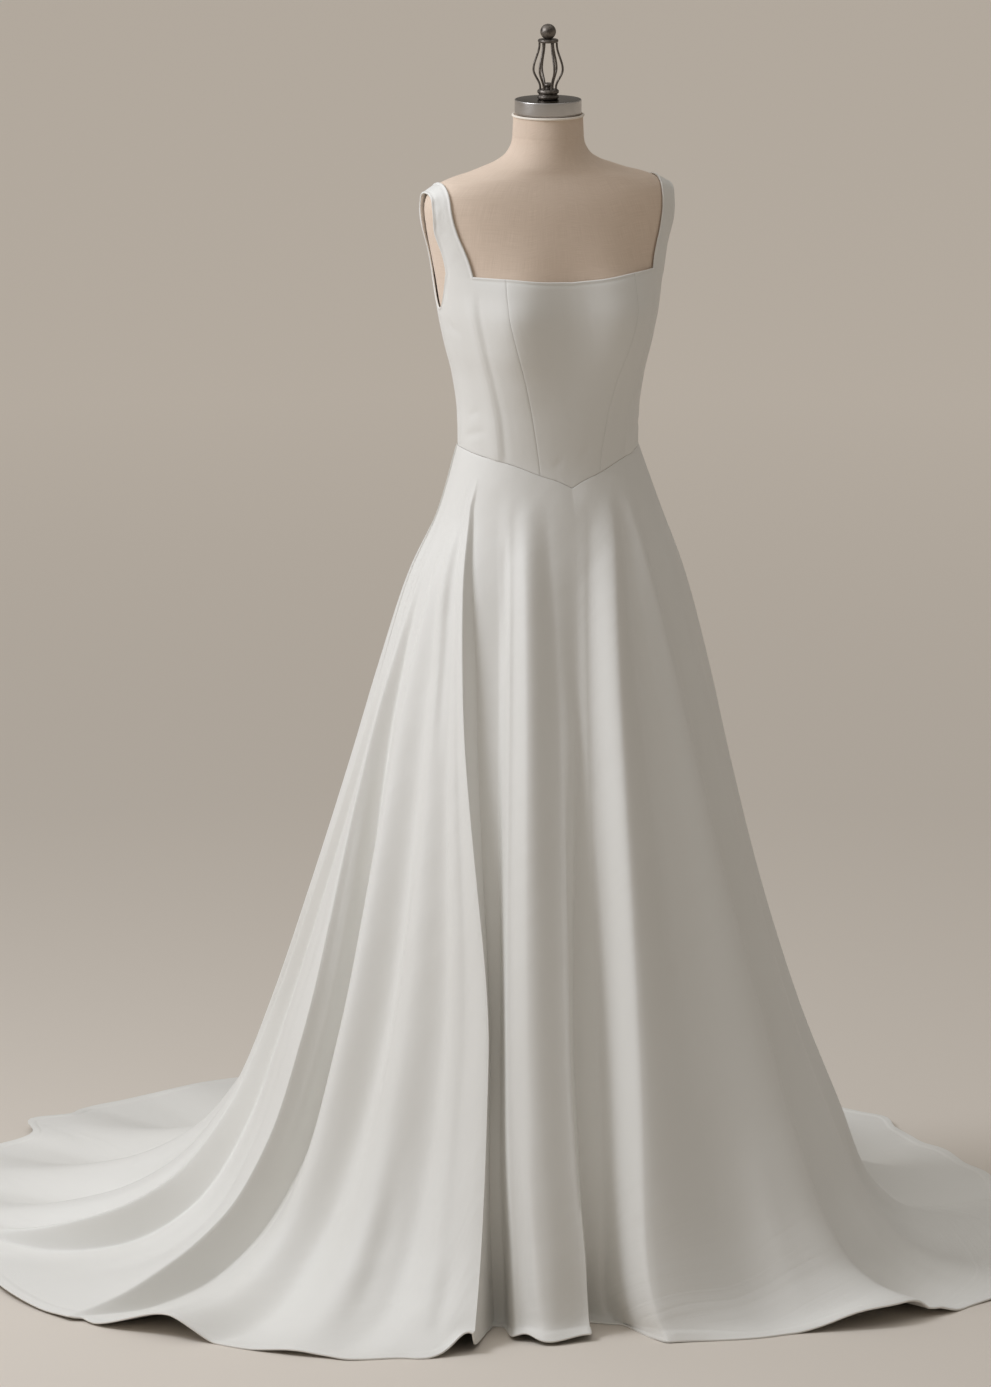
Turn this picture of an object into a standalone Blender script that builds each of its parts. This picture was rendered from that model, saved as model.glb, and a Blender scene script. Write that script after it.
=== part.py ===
"""A sleeveless wedding dress with a train, standing on a limbless dress form.

Metres, +Z up. The origin is on the floor under the form's axis. The dress faces -Y, and +X is the
wearer's left. An azimuth is in degrees from the front, positive towards +X. A skirt level is 0 at
the waist seam, 6 at the knee and 11 at the hem.
"""
import math
from collections import namedtuple

import bmesh
import bpy
import numpy as np

# Cloth and seams
WALL = 0.002
SEAM = 0.0003
FORM_GAP = 0.0022
SHOULDER_GAP = 0.0006

# Form, cap, finial and stand
NECK_TOP = 1.5490
NECK_RIM_HEIGHT = 0.0040
NECK_RIM_PROUD = 0.0010
FORM_BOTTOM = 0.8050
FORM_BOTTOM_ROUND = 0.0300
FORM_SIDES = 36
FORM_LEVELS = (
    0.870, 0.910, 0.950, 0.990, 1.025, 1.060, 1.095, 1.130, 1.165, 1.200, 1.235,
    1.265, 1.290, 1.315, 1.345, 1.375, 1.403, 1.425, 1.440, 1.451, 1.459,
)
CAP_RADIUS = 0.0445
CAP_HEIGHT = 0.0190
CAP_EDGE = 0.0015
COLLAR_RADIUS = 0.0145
COLLAR_GROOVE = 0.0020
KNOB_RADIUS = 0.0060
KNOB_STEM = 0.0035
WIRE_RADIUS = 0.0015
WIRE_COUNT = 6
WIRE_START = 6
WIRE_FOOT_RADIUS = 0.0105
WIRE_BULGE_RADIUS = 0.0195
WIRE_HEAD_RADIUS = 0.0115
CAGE_HEIGHT = 0.0620
RING_RADIUS = 0.0137
RING_EDGE = 0.0012
RING_HEIGHT = 0.0045
BALL_RADIUS = 0.0105
BALL_SEAT_ANGLE = 25
BALL_RINGS = 9
POLE_RADIUS = 0.0150
BASE_RADIUS = 0.1900
BASE_HEIGHT = 0.0120
BASE_EDGE = 0.0030

# Outer face of the fitted cloth at each height: half width, depth in front and behind, squareness
# of the section, and the extra reach over each bust point
Ring = namedtuple("Ring", "height half_width front back square bust")
TORSO = (
    Ring(0.800, 0.150, 0.110, 0.120, 2.00, 0.000),
    Ring(0.860, 0.168, 0.124, 0.134, 2.05, 0.000),
    Ring(0.930, 0.170, 0.124, 0.136, 2.05, 0.000),
    Ring(0.990, 0.153, 0.113, 0.122, 2.05, 0.000),
    Ring(1.040, 0.134, 0.103, 0.106, 2.05, 0.000),
    Ring(1.095, 0.1225, 0.096, 0.093, 2.10, 0.000),
    Ring(1.150, 0.1235, 0.098, 0.091, 2.15, 0.001),
    Ring(1.200, 0.130, 0.101, 0.093, 2.20, 0.006),
    Ring(1.245, 0.1415, 0.104, 0.096, 2.20, 0.015),
    Ring(1.285, 0.150, 0.105, 0.099, 2.20, 0.019),
    Ring(1.325, 0.156, 0.101, 0.101, 2.20, 0.013),
    Ring(1.360, 0.163, 0.093, 0.101, 2.15, 0.005),
    Ring(1.400, 0.171, 0.082, 0.098, 2.15, 0.001),
    Ring(1.430, 0.1745, 0.073, 0.091, 2.15, 0.000),
    Ring(1.450, 0.169, 0.065, 0.080, 2.20, 0.000),
    Ring(1.463, 0.153, 0.059, 0.070, 2.20, 0.000),
    Ring(1.470, 0.136, 0.056, 0.065, 2.20, 0.000),
    Ring(1.476, 0.114, 0.054, 0.061, 2.15, 0.000),
    Ring(1.483, 0.094, 0.053, 0.057, 2.05, 0.000),
    Ring(1.490, 0.075, 0.052, 0.054, 2.00, 0.000),
    Ring(1.500, 0.060, 0.051, 0.052, 2.00, 0.000),
    Ring(1.515, 0.0525, 0.0505, 0.051, 2.00, 0.000),
    Ring(1.549, 0.0505, 0.0505, 0.0505, 2.00, 0.000),
)
BUST_AZIMUTH = 36.0
BUST_SPREAD = 20.0

# Waist seam and neckline heights by azimuth, the same on both sides
Edge = namedtuple("Edge", "azimuth height")
WAIST_SEAM = (
    Edge(0, 1.060),
    Edge(10, 1.069),
    Edge(25, 1.078),
    Edge(45, 1.0915),
    Edge(65, 1.100),
    Edge(90, 1.106),
    Edge(135, 1.104),
    Edge(180, 1.100),
)
NECKLINE = (
    Edge(0, 1.3370),
    Edge(20, 1.3390),
    Edge(45, 1.3440),
    Edge(63, 1.3450),
)
BACK_NECKLINE_DIP = 0.0080

# Azimuths of the bodice seams and strap edges at each height
Lines = namedtuple(
    "Lines", "height princess strap_inner strap_outer side back_outer back_inner back_princess"
)
BODICE_LINES = (
    Lines(1.055, 23.0, 48.5, 70.0, 90.0, 108.0, 128.0, 154.0),
    Lines(1.120, 27.5, 50.0, 71.5, 90.5, 107.0, 126.0, 153.0),
    Lines(1.180, 32.0, 52.5, 73.5, 91.0, 106.0, 123.5, 151.0),
    Lines(1.250, 37.0, 56.5, 76.5, 91.5, 104.5, 120.0, 148.0),
    Lines(1.300, 41.0, 60.0, 78.5, 92.0, 103.0, 117.5, 145.5),
    Lines(1.345, 45.0, 63.0, 79.0, 92.0, 102.0, 115.5, 143.5),
)
STRAP_BASE = 1.345
UNDERARM = 1.295

# A strap turns about a centre inside the shoulder. Its angle is 0 to the front and 90 upwards.
# Each row gives the share of its way up from the panel, and where its two edges are.
STRAP_CENTRE = 1.385
STRAP_ROWS = 12
Strap = namedtuple("Strap", "way inner outer")
STRAP = (
    Strap(0.0, 0.1310, 0.1545),
    Strap(0.4, 0.1455, 0.1645),
    Strap(0.7, 0.1500, 0.1700),
    Strap(1.0, 0.1500, 0.1715),
)
SHOULDER_EDGE = 0.1580
SHOULDER_PROBE = 0.0080

# Skirt profiles, one row for each level below the waist seam
Section = namedtuple("Section", "front_z front side_z left right back_z back")
SKIRT = (
    Section(1.000, 0.122, 1.020, 0.147, 0.153, 1.010, 0.125),
    Section(0.920, 0.152, 0.930, 0.186, 0.185, 0.920, 0.167),
    Section(0.800, 0.197, 0.800, 0.223, 0.216, 0.800, 0.215),
    Section(0.660, 0.250, 0.660, 0.259, 0.243, 0.640, 0.270),
    Section(0.500, 0.313, 0.500, 0.303, 0.278, 0.460, 0.335),
    Section(0.340, 0.376, 0.340, 0.351, 0.325, 0.300, 0.400),
    Section(0.200, 0.430, 0.190, 0.405, 0.385, 0.165, 0.480),
    Section(0.100, 0.467, 0.085, 0.470, 0.428, 0.075, 0.580),
    Section(0.040, 0.490, 0.030, 0.545, 0.492, 0.028, 0.700),
    Section(0.012, 0.505, 0.008, 0.625, 0.585, 0.008, 0.860),
    Section(0.000, 0.520, 0.000, 0.720, 0.690, 0.000, 1.080),
)
HEM_LEVEL = len(SKIRT)
REACH_STARTS = 6.5

# Ridges and valleys of the skirt from centre back round by the wearer's right and the front.
# Each has its azimuth at five levels, its depth at five, its lift off the floor at the hem and
# the hem's reach from the axis. A ridge whose azimuth passes the next valley's hangs over it.
AZIMUTH_LEVELS = (0.8, 3.2, 6.0, 8.2, 10.5)
DEPTH_LEVELS = (0.4, 1.6, 3.2, 6.0, 8.5, 11.0)
Fold = namedtuple(
    "Fold", "waist hip knee shin hem high_depth hip_depth knee_depth foot_depth lift reach"
)
FOLDS = (
    Fold(-180, -180, -180, -180, -180, 0.000, 0.000, -0.006, -0.004, 0.000, 1.100),
    Fold(-170, -170, -170, -170.5, -171, 0.004, 0.010, 0.024, 0.024, 0.004, 1.082),
    Fold(-159, -159, -160, -161, -162, 0.000, -0.004, -0.014, -0.014, 0.000, 1.045),
    Fold(-148, -149, -150, -151.5, -153, 0.003, 0.010, 0.026, 0.028, 0.010, 1.026),
    Fold(-138, -139, -141, -143, -145, 0.000, -0.004, -0.014, -0.014, 0.000, 0.972),
    Fold(-128, -129, -132, -134, -136, 0.003, 0.010, 0.022, 0.026, 0.006, 0.944),
    Fold(-119, -120, -124, -126, -128, 0.000, -0.003, -0.012, -0.014, 0.000, 0.882),
    Fold(-110, -112, -117, -119, -121, 0.002, 0.007, 0.016, 0.018, 0.005, 0.854),
    Fold(-101, -104, -115, -108, -116, 0.000, 0.000, -0.004, -0.010, 0.000, 0.818),
    Fold(-97, -99, -111, -100.8, -109.5, 0.002, 0.005, 0.012, 0.036, 0.006, 0.808),
    Fold(-92, -96, -109, -99.6, -108, 0.000, -0.002, -0.008, -0.012, 0.000, 0.798),
    Fold(-89, -91.5, -93, -87, -91, 0.001, 0.002, 0.004, 0.006, 0.010, 0.772),
    Fold(-86.5, -87, -77.2, -76.6, -76, 0.001, 0.010, 0.030, 0.036, 0.003, 0.760),
    Fold(-83, -84, -75.6, -75.3, -74.8, 0.000, -0.008, -0.028, -0.016, 0.000, 0.745),
    Fold(-79, -74, -67, -66.5, -63.5, 0.001, 0.005, 0.016, 0.010, 0.034, 0.705),
    Fold(-76, -66, -58.5, -59.5, -57.5, 0.000, -0.004, -0.016, -0.012, 0.000, 0.686),
    Fold(-74, -60, -50, -50, -49, 0.001, 0.004, 0.012, 0.014, 0.004, 0.682),
    Fold(-72, -55, -42, -41.4, -43, 0.000, 0.002, 0.000, -0.010, 0.000, 0.672),
    Fold(-70, -51, -36.5, -35.5, -35, 0.003, 0.008, 0.014, 0.016, 0.004, 0.628),
    Fold(-67, -47.5, -30.3, -28.9, -28.4, 0.006, 0.015, 0.026, 0.028, 0.008, 0.598),
    Fold(-65, -46, -31.2, -28.9, -28.4, -0.005, -0.014, -0.014, -0.018, 0.000, 0.446),
    Fold(-51, -38, -29.2, -27, -26.6, -0.007, -0.016, -0.015, -0.020, 0.000, 0.446),
    Fold(-41, -32, -26.8, -24.2, -23.4, 0.000, 0.003, 0.014, 0.012, 0.004, 0.520),
    Fold(-31, -25.5, -22.2, -19.6, -19, 0.009, 0.016, 0.024, 0.022, 0.006, 0.538),
    Fold(-18, -14, -14.3, -12.8, -12.6, -0.003, -0.006, 0.004, 0.004, 0.012, 0.512),
    Fold(0, -7, -12.8, -11.8, -11.6, -0.006, -0.016, -0.038, -0.044, 0.000, 0.424),
    Fold(8, -2.8, -7.6, -8.8, -6.5, -0.005, -0.012, -0.036, -0.040, 0.000, 0.440),
    Fold(24, 7, -0.8, -3.4, -2, 0.009, 0.018, 0.022, 0.018, 0.002, 0.548),
    Fold(33, 19, 13, 12, 13, -0.003, -0.007, -0.010, -0.010, 0.000, 0.574),
    Fold(40, 34, 30.5, 28.6, 30, 0.006, 0.012, 0.020, 0.030, 0.030, 0.622),
    Fold(49, 44, 40, 38, 39, -0.002, -0.008, -0.014, -0.018, 0.002, 0.650),
    Fold(59, 54, 51, 50, 52, 0.001, 0.004, 0.006, 0.008, 0.006, 0.680),
    Fold(72, 66, 62, 63.5, 66, 0.000, -0.002, -0.006, -0.012, 0.000, 0.688),
    Fold(84, 80, 77, 78.5, 81, 0.001, 0.005, 0.012, 0.008, 0.004, 0.692),
    Fold(94, 92, 91, 92, 94, 0.000, -0.002, -0.008, -0.012, 0.000, 0.694),
    Fold(104, 103, 104, 105.5, 107, 0.002, 0.007, 0.018, 0.022, 0.005, 0.740),
    Fold(115, 115, 116, 117, 118, 0.000, -0.003, -0.010, -0.012, 0.000, 0.795),
    Fold(126, 126, 128, 128.5, 129, 0.003, 0.010, 0.022, 0.026, 0.006, 0.885),
    Fold(137, 138, 140, 140.5, 141, 0.000, -0.004, -0.012, -0.013, 0.000, 0.955),
    Fold(148, 149, 151, 151.5, 152, 0.003, 0.010, 0.024, 0.026, 0.008, 1.020),
    Fold(159, 159, 161, 161.5, 162, 0.000, -0.004, -0.014, -0.013, 0.000, 1.045),
    Fold(170, 170, 170, 170.5, 171, 0.004, 0.010, 0.024, 0.022, 0.004, 1.082),
)
RIGHT_SIDE_SEAM = 8
LEFT_SIDE_SEAM = 34
COLUMN_SPACING = 0.075
MITRE_LIMIT = 0.5
BODICE_ROWS = 13
SKIRT_LEVELS = (
    0.0, 0.7, 1.5, 2.4, 3.3, 4.2, 5.1, 6.0, 6.8, 7.5,
    8.1, 8.6, 9.1, 9.6, 10.1, 10.6, 11.0,
)


def glide(stops, rows, at):
    """Read a table between its rows on a smooth curve that never overshoots them."""
    stops = np.asarray(stops, float)
    rows = np.asarray(rows, float)
    gaps = np.diff(stops)
    rises = (rows[1:] - rows[:-1]) / gaps.reshape([-1] + [1] * (rows.ndim - 1))
    slopes = np.zeros_like(rows)
    slopes[0] = rises[0]
    slopes[-1] = rises[-1]
    agree = rises[1:] * rises[:-1] > 0
    total = np.where(agree, rises[1:] + rises[:-1], 1.0)
    slopes[1:-1] = np.where(agree, 2 * rises[1:] * rises[:-1] / total, 0.0)
    i = int(np.clip(np.searchsorted(stops, at) - 1, 0, len(gaps) - 1))
    t = float(np.clip((at - stops[i]) / gaps[i], 0, 1))
    start = (2 * t**3 - 3 * t**2 + 1) * rows[i] + (t**3 - 2 * t**2 + t) * gaps[i] * slopes[i]
    end = (3 * t**2 - 2 * t**3) * rows[i + 1] + (t**3 - t**2) * gaps[i] * slopes[i + 1]
    return start + end


def column(table, name):
    return [getattr(row, name) for row in table]


def edge_height(table, azimuth):
    return float(glide(column(table, "azimuth"), column(table, "height"), abs(azimuth)))


def torso_radius(azimuth, height):
    """Reach of the fitted cloth's outer face from the axis."""
    ring = glide(column(TORSO, "height"), TORSO, height)
    _, half_width, front, back, square, bust = ring
    turn = math.radians(azimuth)
    depth = front if math.cos(turn) > 0 else back
    across = abs(math.sin(turn)) / half_width
    along = abs(math.cos(turn)) / depth
    radius = (across**square + along**square) ** (-1 / square)
    if math.cos(turn) > 0:
        for centre in (-BUST_AZIMUTH, BUST_AZIMUTH):
            radius += bust * math.exp(-(((azimuth - centre) / BUST_SPREAD) ** 2))
    return radius


def torso_point(azimuth, height, inset=0.0):
    radius = torso_radius(azimuth, height) - inset
    turn = math.radians(azimuth)
    return (radius * math.sin(turn), -radius * math.cos(turn), height)


def torso_inside(azimuth, height, inset):
    """A point a constant step inside the fitted cloth's outer face."""
    step = 0.5
    rise = 0.0005
    point = np.array(torso_point(azimuth, height))
    around = np.array(torso_point(azimuth + step, height)) - torso_point(azimuth - step, height)
    top = min(height + rise, TORSO[-1].height)
    upward = np.array(torso_point(azimuth, top)) - torso_point(azimuth, height - rise)
    normal = np.cross(around, upward)
    return point - inset * normal / np.linalg.norm(normal)


def ray_reach(x, angle):
    """Distance from the strap's centre to the torso, along a ray at a given x."""
    across = math.cos(angle)
    up = math.sin(angle)
    near, far = 0.0, 0.15
    for _ in range(40):
        middle = (near + far) / 2
        y = -middle * across
        z = min(STRAP_CENTRE + middle * up, TORSO[-1].height)
        azimuth = math.degrees(math.atan2(x, -y))
        if math.hypot(x, y) < torso_radius(azimuth, z):
            near = middle
        else:
            far = middle
    return near


def shoulder_reach(x, angle):
    """The torso's reach, carried on straight past the end of the shoulder."""
    if x <= SHOULDER_EDGE:
        return ray_reach(x, angle)
    edge = ray_reach(SHOULDER_EDGE, angle)
    slope = (ray_reach(SHOULDER_EDGE - SHOULDER_PROBE, angle) - edge) / SHOULDER_PROBE
    return edge - slope * (x - SHOULDER_EDGE)


def strap_point(foot, share, way, inset):
    """A strap's point, above a foot on the panel. share runs from its inner edge to its outer."""
    x_foot, y_foot, z_foot = foot
    start = math.atan2(z_foot - STRAP_CENTRE, -y_foot)
    if y_foot > 0 and start < 0:
        start += 2 * math.pi
    angle = start + (math.pi / 2 - start) * way
    _, inner, outer = glide(column(STRAP, "way"), STRAP, way)
    _, inner_foot, outer_foot = STRAP[0]
    x = inner + (outer - inner) * share
    x += (x_foot - inner_foot - (outer_foot - inner_foot) * share) * (1 - ease(way))
    closer = (FORM_GAP - SHOULDER_GAP) * ease(way)
    reach = shoulder_reach(x, angle) - closer
    point = np.array((x, -reach * math.cos(angle), STRAP_CENTRE + reach * math.sin(angle)))
    radial = np.array((x_foot, y_foot, 0)) / math.hypot(x_foot, y_foot)
    ray = np.array((0, -math.cos(angle), math.sin(angle)))
    outward = radial + (ray - radial) * ease(min(1.0, 2 * way))
    return point - inset * outward / np.linalg.norm(outward)


def waist_ring():
    """Radius and height of the waist seam at each whole degree."""
    azimuths = np.arange(-180, 181)
    heights = np.array([edge_height(WAIST_SEAM, a) for a in azimuths])
    radii = np.array([torso_radius(a, h) for a, h in zip(azimuths, heights)])
    return azimuths, radii, heights


WAIST_AZIMUTHS, WAIST_RADII, WAIST_HEIGHTS = waist_ring()


def wrap(azimuth):
    return (azimuth + 180) % 360 - 180


def skirt_base(azimuth, level):
    """Radius and height of the skirt without its folds, for an array of azimuths."""
    turn = np.radians(azimuth)
    side = np.sin(turn) ** 2
    right = side * (np.sin(turn) > 0)
    left = side - right
    front = np.maximum(np.cos(turn), 0) ** 2
    back = np.maximum(-np.cos(turn), 0) ** 2
    table = np.array(SKIRT)
    radii = np.outer(table[:, 1], front) + np.outer(table[:, 3], left)
    radii += np.outer(table[:, 4], right) + np.outer(table[:, 6], back)
    heights = np.outer(table[:, 0], front) + np.outer(table[:, 2], side)
    heights += np.outer(table[:, 5], back)
    waist_radius = np.interp(wrap(azimuth), WAIST_AZIMUTHS, WAIST_RADII)
    waist_height = np.interp(wrap(azimuth), WAIST_AZIMUTHS, WAIST_HEIGHTS)
    stations = np.arange(HEM_LEVEL + 1)
    radius = glide(stations, np.vstack([waist_radius, radii]), level)
    height = glide(stations, np.vstack([waist_height, heights]), level)
    return radius, height, radii[-1]


def ease(share):
    return share * share * (3 - 2 * share)


def skirt_outer(level, places):
    """Outer face of the skirt at one level. A place counts along the rows of FOLDS."""
    folds = np.array(FOLDS)
    folds = np.vstack([folds, folds[0]])
    folds[-1, :5] += 360
    azimuths = glide(AZIMUTH_LEVELS, folds[:, :5].T, level)
    flat = np.zeros(len(folds))
    depths = glide(DEPTH_LEVELS, np.vstack([flat, folds[:, 5:10].T]), level)
    row = np.minimum(places.astype(int), len(folds) - 2)
    share = places - row
    azimuth = azimuths[row] + (azimuths[row + 1] - azimuths[row]) * share
    depth = depths[row] + (depths[row + 1] - depths[row]) * ease(share)
    reach = folds[row, 10] + (folds[row + 1, 10] - folds[row, 10]) * ease(share)

    step = 0.05
    radius, height, hem_radius = skirt_base(azimuth, level)
    above = skirt_base(azimuth, max(level - step, 0))
    below = skirt_base(azimuth, min(level + step, HEM_LEVEL))
    run = below[0] - above[0]
    drop = above[1] - below[1]
    length = np.hypot(run, drop)
    lying = ease(np.clip((level - REACH_STARTS) / (HEM_LEVEL - REACH_STARTS), 0, 1))
    radius = radius + lying * (reach - hem_radius) + depth * drop / length
    height = height + depth * run / length
    height = np.maximum(height, WALL * run / length)
    turn = np.radians(azimuth)
    return np.stack([radius * np.sin(turn), -radius * np.cos(turn), height], -1)


def skirt_places():
    """Places of the skirt's columns, closer where the hem is longer, and where each fold is."""
    places = []
    at_fold = []
    for i, fold in enumerate(FOLDS):
        after = FOLDS[(i + 1) % len(FOLDS)]
        turn = math.radians((after.hem - fold.hem) % 360)
        arc = math.hypot(turn * (fold.reach + after.reach) / 2, after.reach - fold.reach)
        steps = max(2, round(arc / COLUMN_SPACING))
        at_fold.append(len(places))
        places += [i + k / steps for k in range(steps)]
    return np.array(places), at_fold


def unit(vectors):
    return vectors / np.linalg.norm(vectors, axis=-1, keepdims=True)


def grid_offsets(points):
    """Steps that thicken a grid evenly. The grid closes round its columns."""
    down = np.gradient(points, axis=0)
    before = unit(np.cross(down, points - np.roll(points, 1, 1)))
    after = unit(np.cross(down, np.roll(points, -1, 1) - points))
    middle = unit(before + after)
    spread = np.sum(middle * after, axis=-1, keepdims=True)
    return middle / np.maximum(spread, MITRE_LIMIT)


def skirt_grids():
    """Outer and inner faces of the whole skirt, and the column of each fold."""
    places, at_fold = skirt_places()
    outer = np.array([skirt_outer(level, places) for level in SKIRT_LEVELS])
    outer[0, :, 2] -= SEAM
    offsets = grid_offsets(outer)
    offsets[0, :, 2] = 0
    offsets[0] = unit(offsets[0])
    inner = outer - WALL * offsets
    inner[..., 2] = np.maximum(inner[..., 2], 0)
    inner[0, :, 2] = outer[0, :, 2]
    return outer, inner, at_fold


def new_material(name, colour, roughness, metallic=0.0):
    material = bpy.data.materials.new(name)
    material.use_nodes = True
    shader = material.node_tree.nodes["Principled BSDF"]
    shader.inputs["Base Color"].default_value = (*colour, 1)
    shader.inputs["Roughness"].default_value = roughness
    shader.inputs["Metallic"].default_value = metallic
    return material


def satin(name):
    return new_material(name, (0.87, 0.86, 0.82), 0.55)


def linen(name):
    return new_material(name, (0.60, 0.48, 0.38), 0.85)


def steel(name):
    return new_material(name, (0.45, 0.43, 0.42), 0.35, 1.0)


def pewter(name):
    return new_material(name, (0.20, 0.17, 0.15), 0.45, 1.0)


def black_paint(name):
    return new_material(name, (0.12, 0.12, 0.12), 0.4)


def add_object(name, verts, faces, material):
    mesh = bpy.data.meshes.new(name)
    mesh.from_pydata([tuple(v) for v in verts], [], faces)
    solid = bmesh.new()
    solid.from_mesh(mesh)
    bmesh.ops.recalc_face_normals(solid, faces=solid.faces)
    solid.to_mesh(mesh)
    solid.free()
    mesh.materials.append(material(name + "_finish"))
    mesh.shade_smooth()
    mesh.set_sharp_from_angle(angle=math.radians(45))
    item = bpy.data.objects.new(name, mesh)
    bpy.context.scene.collection.objects.link(item)
    return item


def walled(name, outer, inner, material, keep=None):
    """A wall between two grids of points. keep says which cells the cloth covers.

    Both faces of a cell are halved along the same line, so the wall is as thick everywhere.
    """
    rows, columns = outer.shape[:2]
    if keep is None:
        keep = np.ones((rows - 1, columns - 1), bool)
    used = {}
    verts = []
    faces = []

    def corner(layer, i, j):
        key = (layer, i, j)
        if key not in used:
            used[key] = len(verts)
            verts.append((outer, inner)[layer][i, j])
        return used[key]

    for i, j in zip(*np.nonzero(keep)):
        ring = [(i, j), (i, j + 1), (i + 1, j + 1), (i + 1, j)]
        beside = [(i - 1, j), (i, j + 1), (i + 1, j), (i, j - 1)]
        spans = [math.dist(outer[ring[k]], outer[ring[k + 2]]) for k in (0, 1)]
        first = int(spans[1] < spans[0])
        order = ring[first:] + ring[:first]
        for half in (order[:3], [order[2], order[3], order[0]]):
            faces.append([corner(0, *p) for p in half])
            faces.append([corner(1, *p) for p in reversed(half)])
        for k, (a, b) in enumerate(beside):
            if 0 <= a < rows - 1 and 0 <= b < columns - 1 and keep[a, b]:
                continue
            p, q = ring[k], ring[(k + 1) % 4]
            faces.append([corner(0, *p), corner(1, *p), corner(1, *q), corner(0, *q)])
    return add_object(name, verts, faces, material)


def pull_in(grid):
    """Draw the first and last columns in by half a seam's gap."""
    grid = grid.copy()
    for edge, inside in ((0, 1), (-1, -2)):
        grid[:, edge] += unit(grid[:, inside] - grid[:, edge]) * SEAM / 2
    return grid


def skirt_panel(name, outer, inner, columns):
    walled(name, pull_in(outer[:, columns]), pull_in(inner[:, columns]), satin)


def build_skirt():
    """Front panel between the side seams, and two back panels that carry the train."""
    outer, inner, at_fold = skirt_grids()
    count = outer.shape[1]
    right, left = at_fold[RIGHT_SIDE_SEAM], at_fold[LEFT_SIDE_SEAM]
    skirt_panel("skirt_front", outer, inner, np.arange(right, left + 1))
    skirt_panel("skirt_back_right", outer, inner, np.arange(0, right + 1))
    skirt_panel("skirt_back_left", outer, inner, np.arange(left, count + 1) % count)


def bodice_line(name, height):
    return float(glide(column(BODICE_LINES, "height"), column(BODICE_LINES, name), height))


def armhole_height(azimuth, side, edge):
    """Height of the armhole's edge between the side seam and a strap's outer edge."""
    share = abs(abs(azimuth) - side) / abs(edge - side)
    return UNDERARM + (STRAP_BASE - UNDERARM) * share**2


def front_top(azimuth):
    top = BODICE_LINES[-1]
    if abs(azimuth) <= top.strap_inner:
        return edge_height(NECKLINE, azimuth)
    if abs(azimuth) <= top.strap_outer:
        return STRAP_BASE
    return armhole_height(azimuth, top.side, top.strap_outer)


def back_top(azimuth):
    top = BODICE_LINES[-1]
    if abs(azimuth) >= top.back_inner:
        share = (abs(azimuth) - top.back_inner) / (180 - top.back_inner)
        return STRAP_BASE - BACK_NECKLINE_DIP * ease(share)
    if abs(azimuth) >= top.back_outer:
        return STRAP_BASE
    return armhole_height(azimuth, top.side, top.back_outer)


def bodice_grid(lines, steps, rows, top, side, inset):
    """Points between bodice lines, from the waist seam up to a top edge."""
    grid = []
    for i in range(rows + 1):
        ring = []
        for k, count in enumerate(steps):
            last = k == len(steps) - 1
            for j in range(count + last):
                azimuth, height = 0.0, UNDERARM
                for _ in range(12):
                    from_line = lines[k](height)
                    to_line = lines[k + 1](height)
                    azimuth = from_line + (to_line - from_line) * j / count
                    low = edge_height(WAIST_SEAM, azimuth)
                    high = top(lines[k](STRAP_BASE) + (
                        lines[k + 1](STRAP_BASE) - lines[k](STRAP_BASE)) * j / count)
                    height = low + (high - low) * i / rows
                ring.append(torso_point(side * azimuth, height, inset))
        grid.append(ring)
    return np.array(grid)


def strap_rows(grid, outer_grid, columns, inset, side, inward):
    """Add a strap's rows above the top row of a panel's grid."""
    shares = np.linspace(0, 1, len(columns))
    if not inward:
        shares = shares[::-1]
    extra = []
    for n in range(1, STRAP_ROWS + 1):
        row = np.array(grid[-1])
        for share, j in zip(shares, columns):
            foot = outer_grid[-1, j] * (side, 1, 1)
            row[j] = strap_point(foot, share, n / STRAP_ROWS, inset) * (side, 1, 1)
        extra.append(row)
    return np.vstack([grid, np.array(extra)])


def named_line(name):
    return lambda height: bodice_line(name, height)


def strap_panel(name, line_names, steps, top, side, in_front):
    """A side panel of the bodice with its shoulder strap cut in one."""
    lines = [named_line(n) for n in line_names]
    first = steps[0]
    columns = range(first, first + steps[1] + 1)
    plain = [bodice_grid(lines, steps, BODICE_ROWS, top, side, inset) for inset in (0.0, WALL)]
    layers = []
    for grid, inset in zip(plain, (0.0, WALL)):
        layer = strap_rows(grid, plain[0], columns, inset, side, in_front)
        layer[0, :, 2] += SEAM / 2
        layer[-1, :, 1] += SEAM / 2 * (-1 if in_front else 1)
        layers.append(pull_in(layer))
    keep = np.ones((layers[0].shape[0] - 1, layers[0].shape[1] - 1), bool)
    keep[BODICE_ROWS:] = False
    keep[BODICE_ROWS:, first:first + steps[1]] = True
    walled(name, layers[0], layers[1], satin, keep)


def plain_panel(name, lines, steps, top, side):
    layers = []
    for inset in (0.0, WALL):
        layer = bodice_grid(lines, steps, BODICE_ROWS, top, side, inset)
        layer[0, :, 2] += SEAM / 2
        layers.append(pull_in(layer))
    walled(name, layers[0], layers[1], satin)


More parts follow.
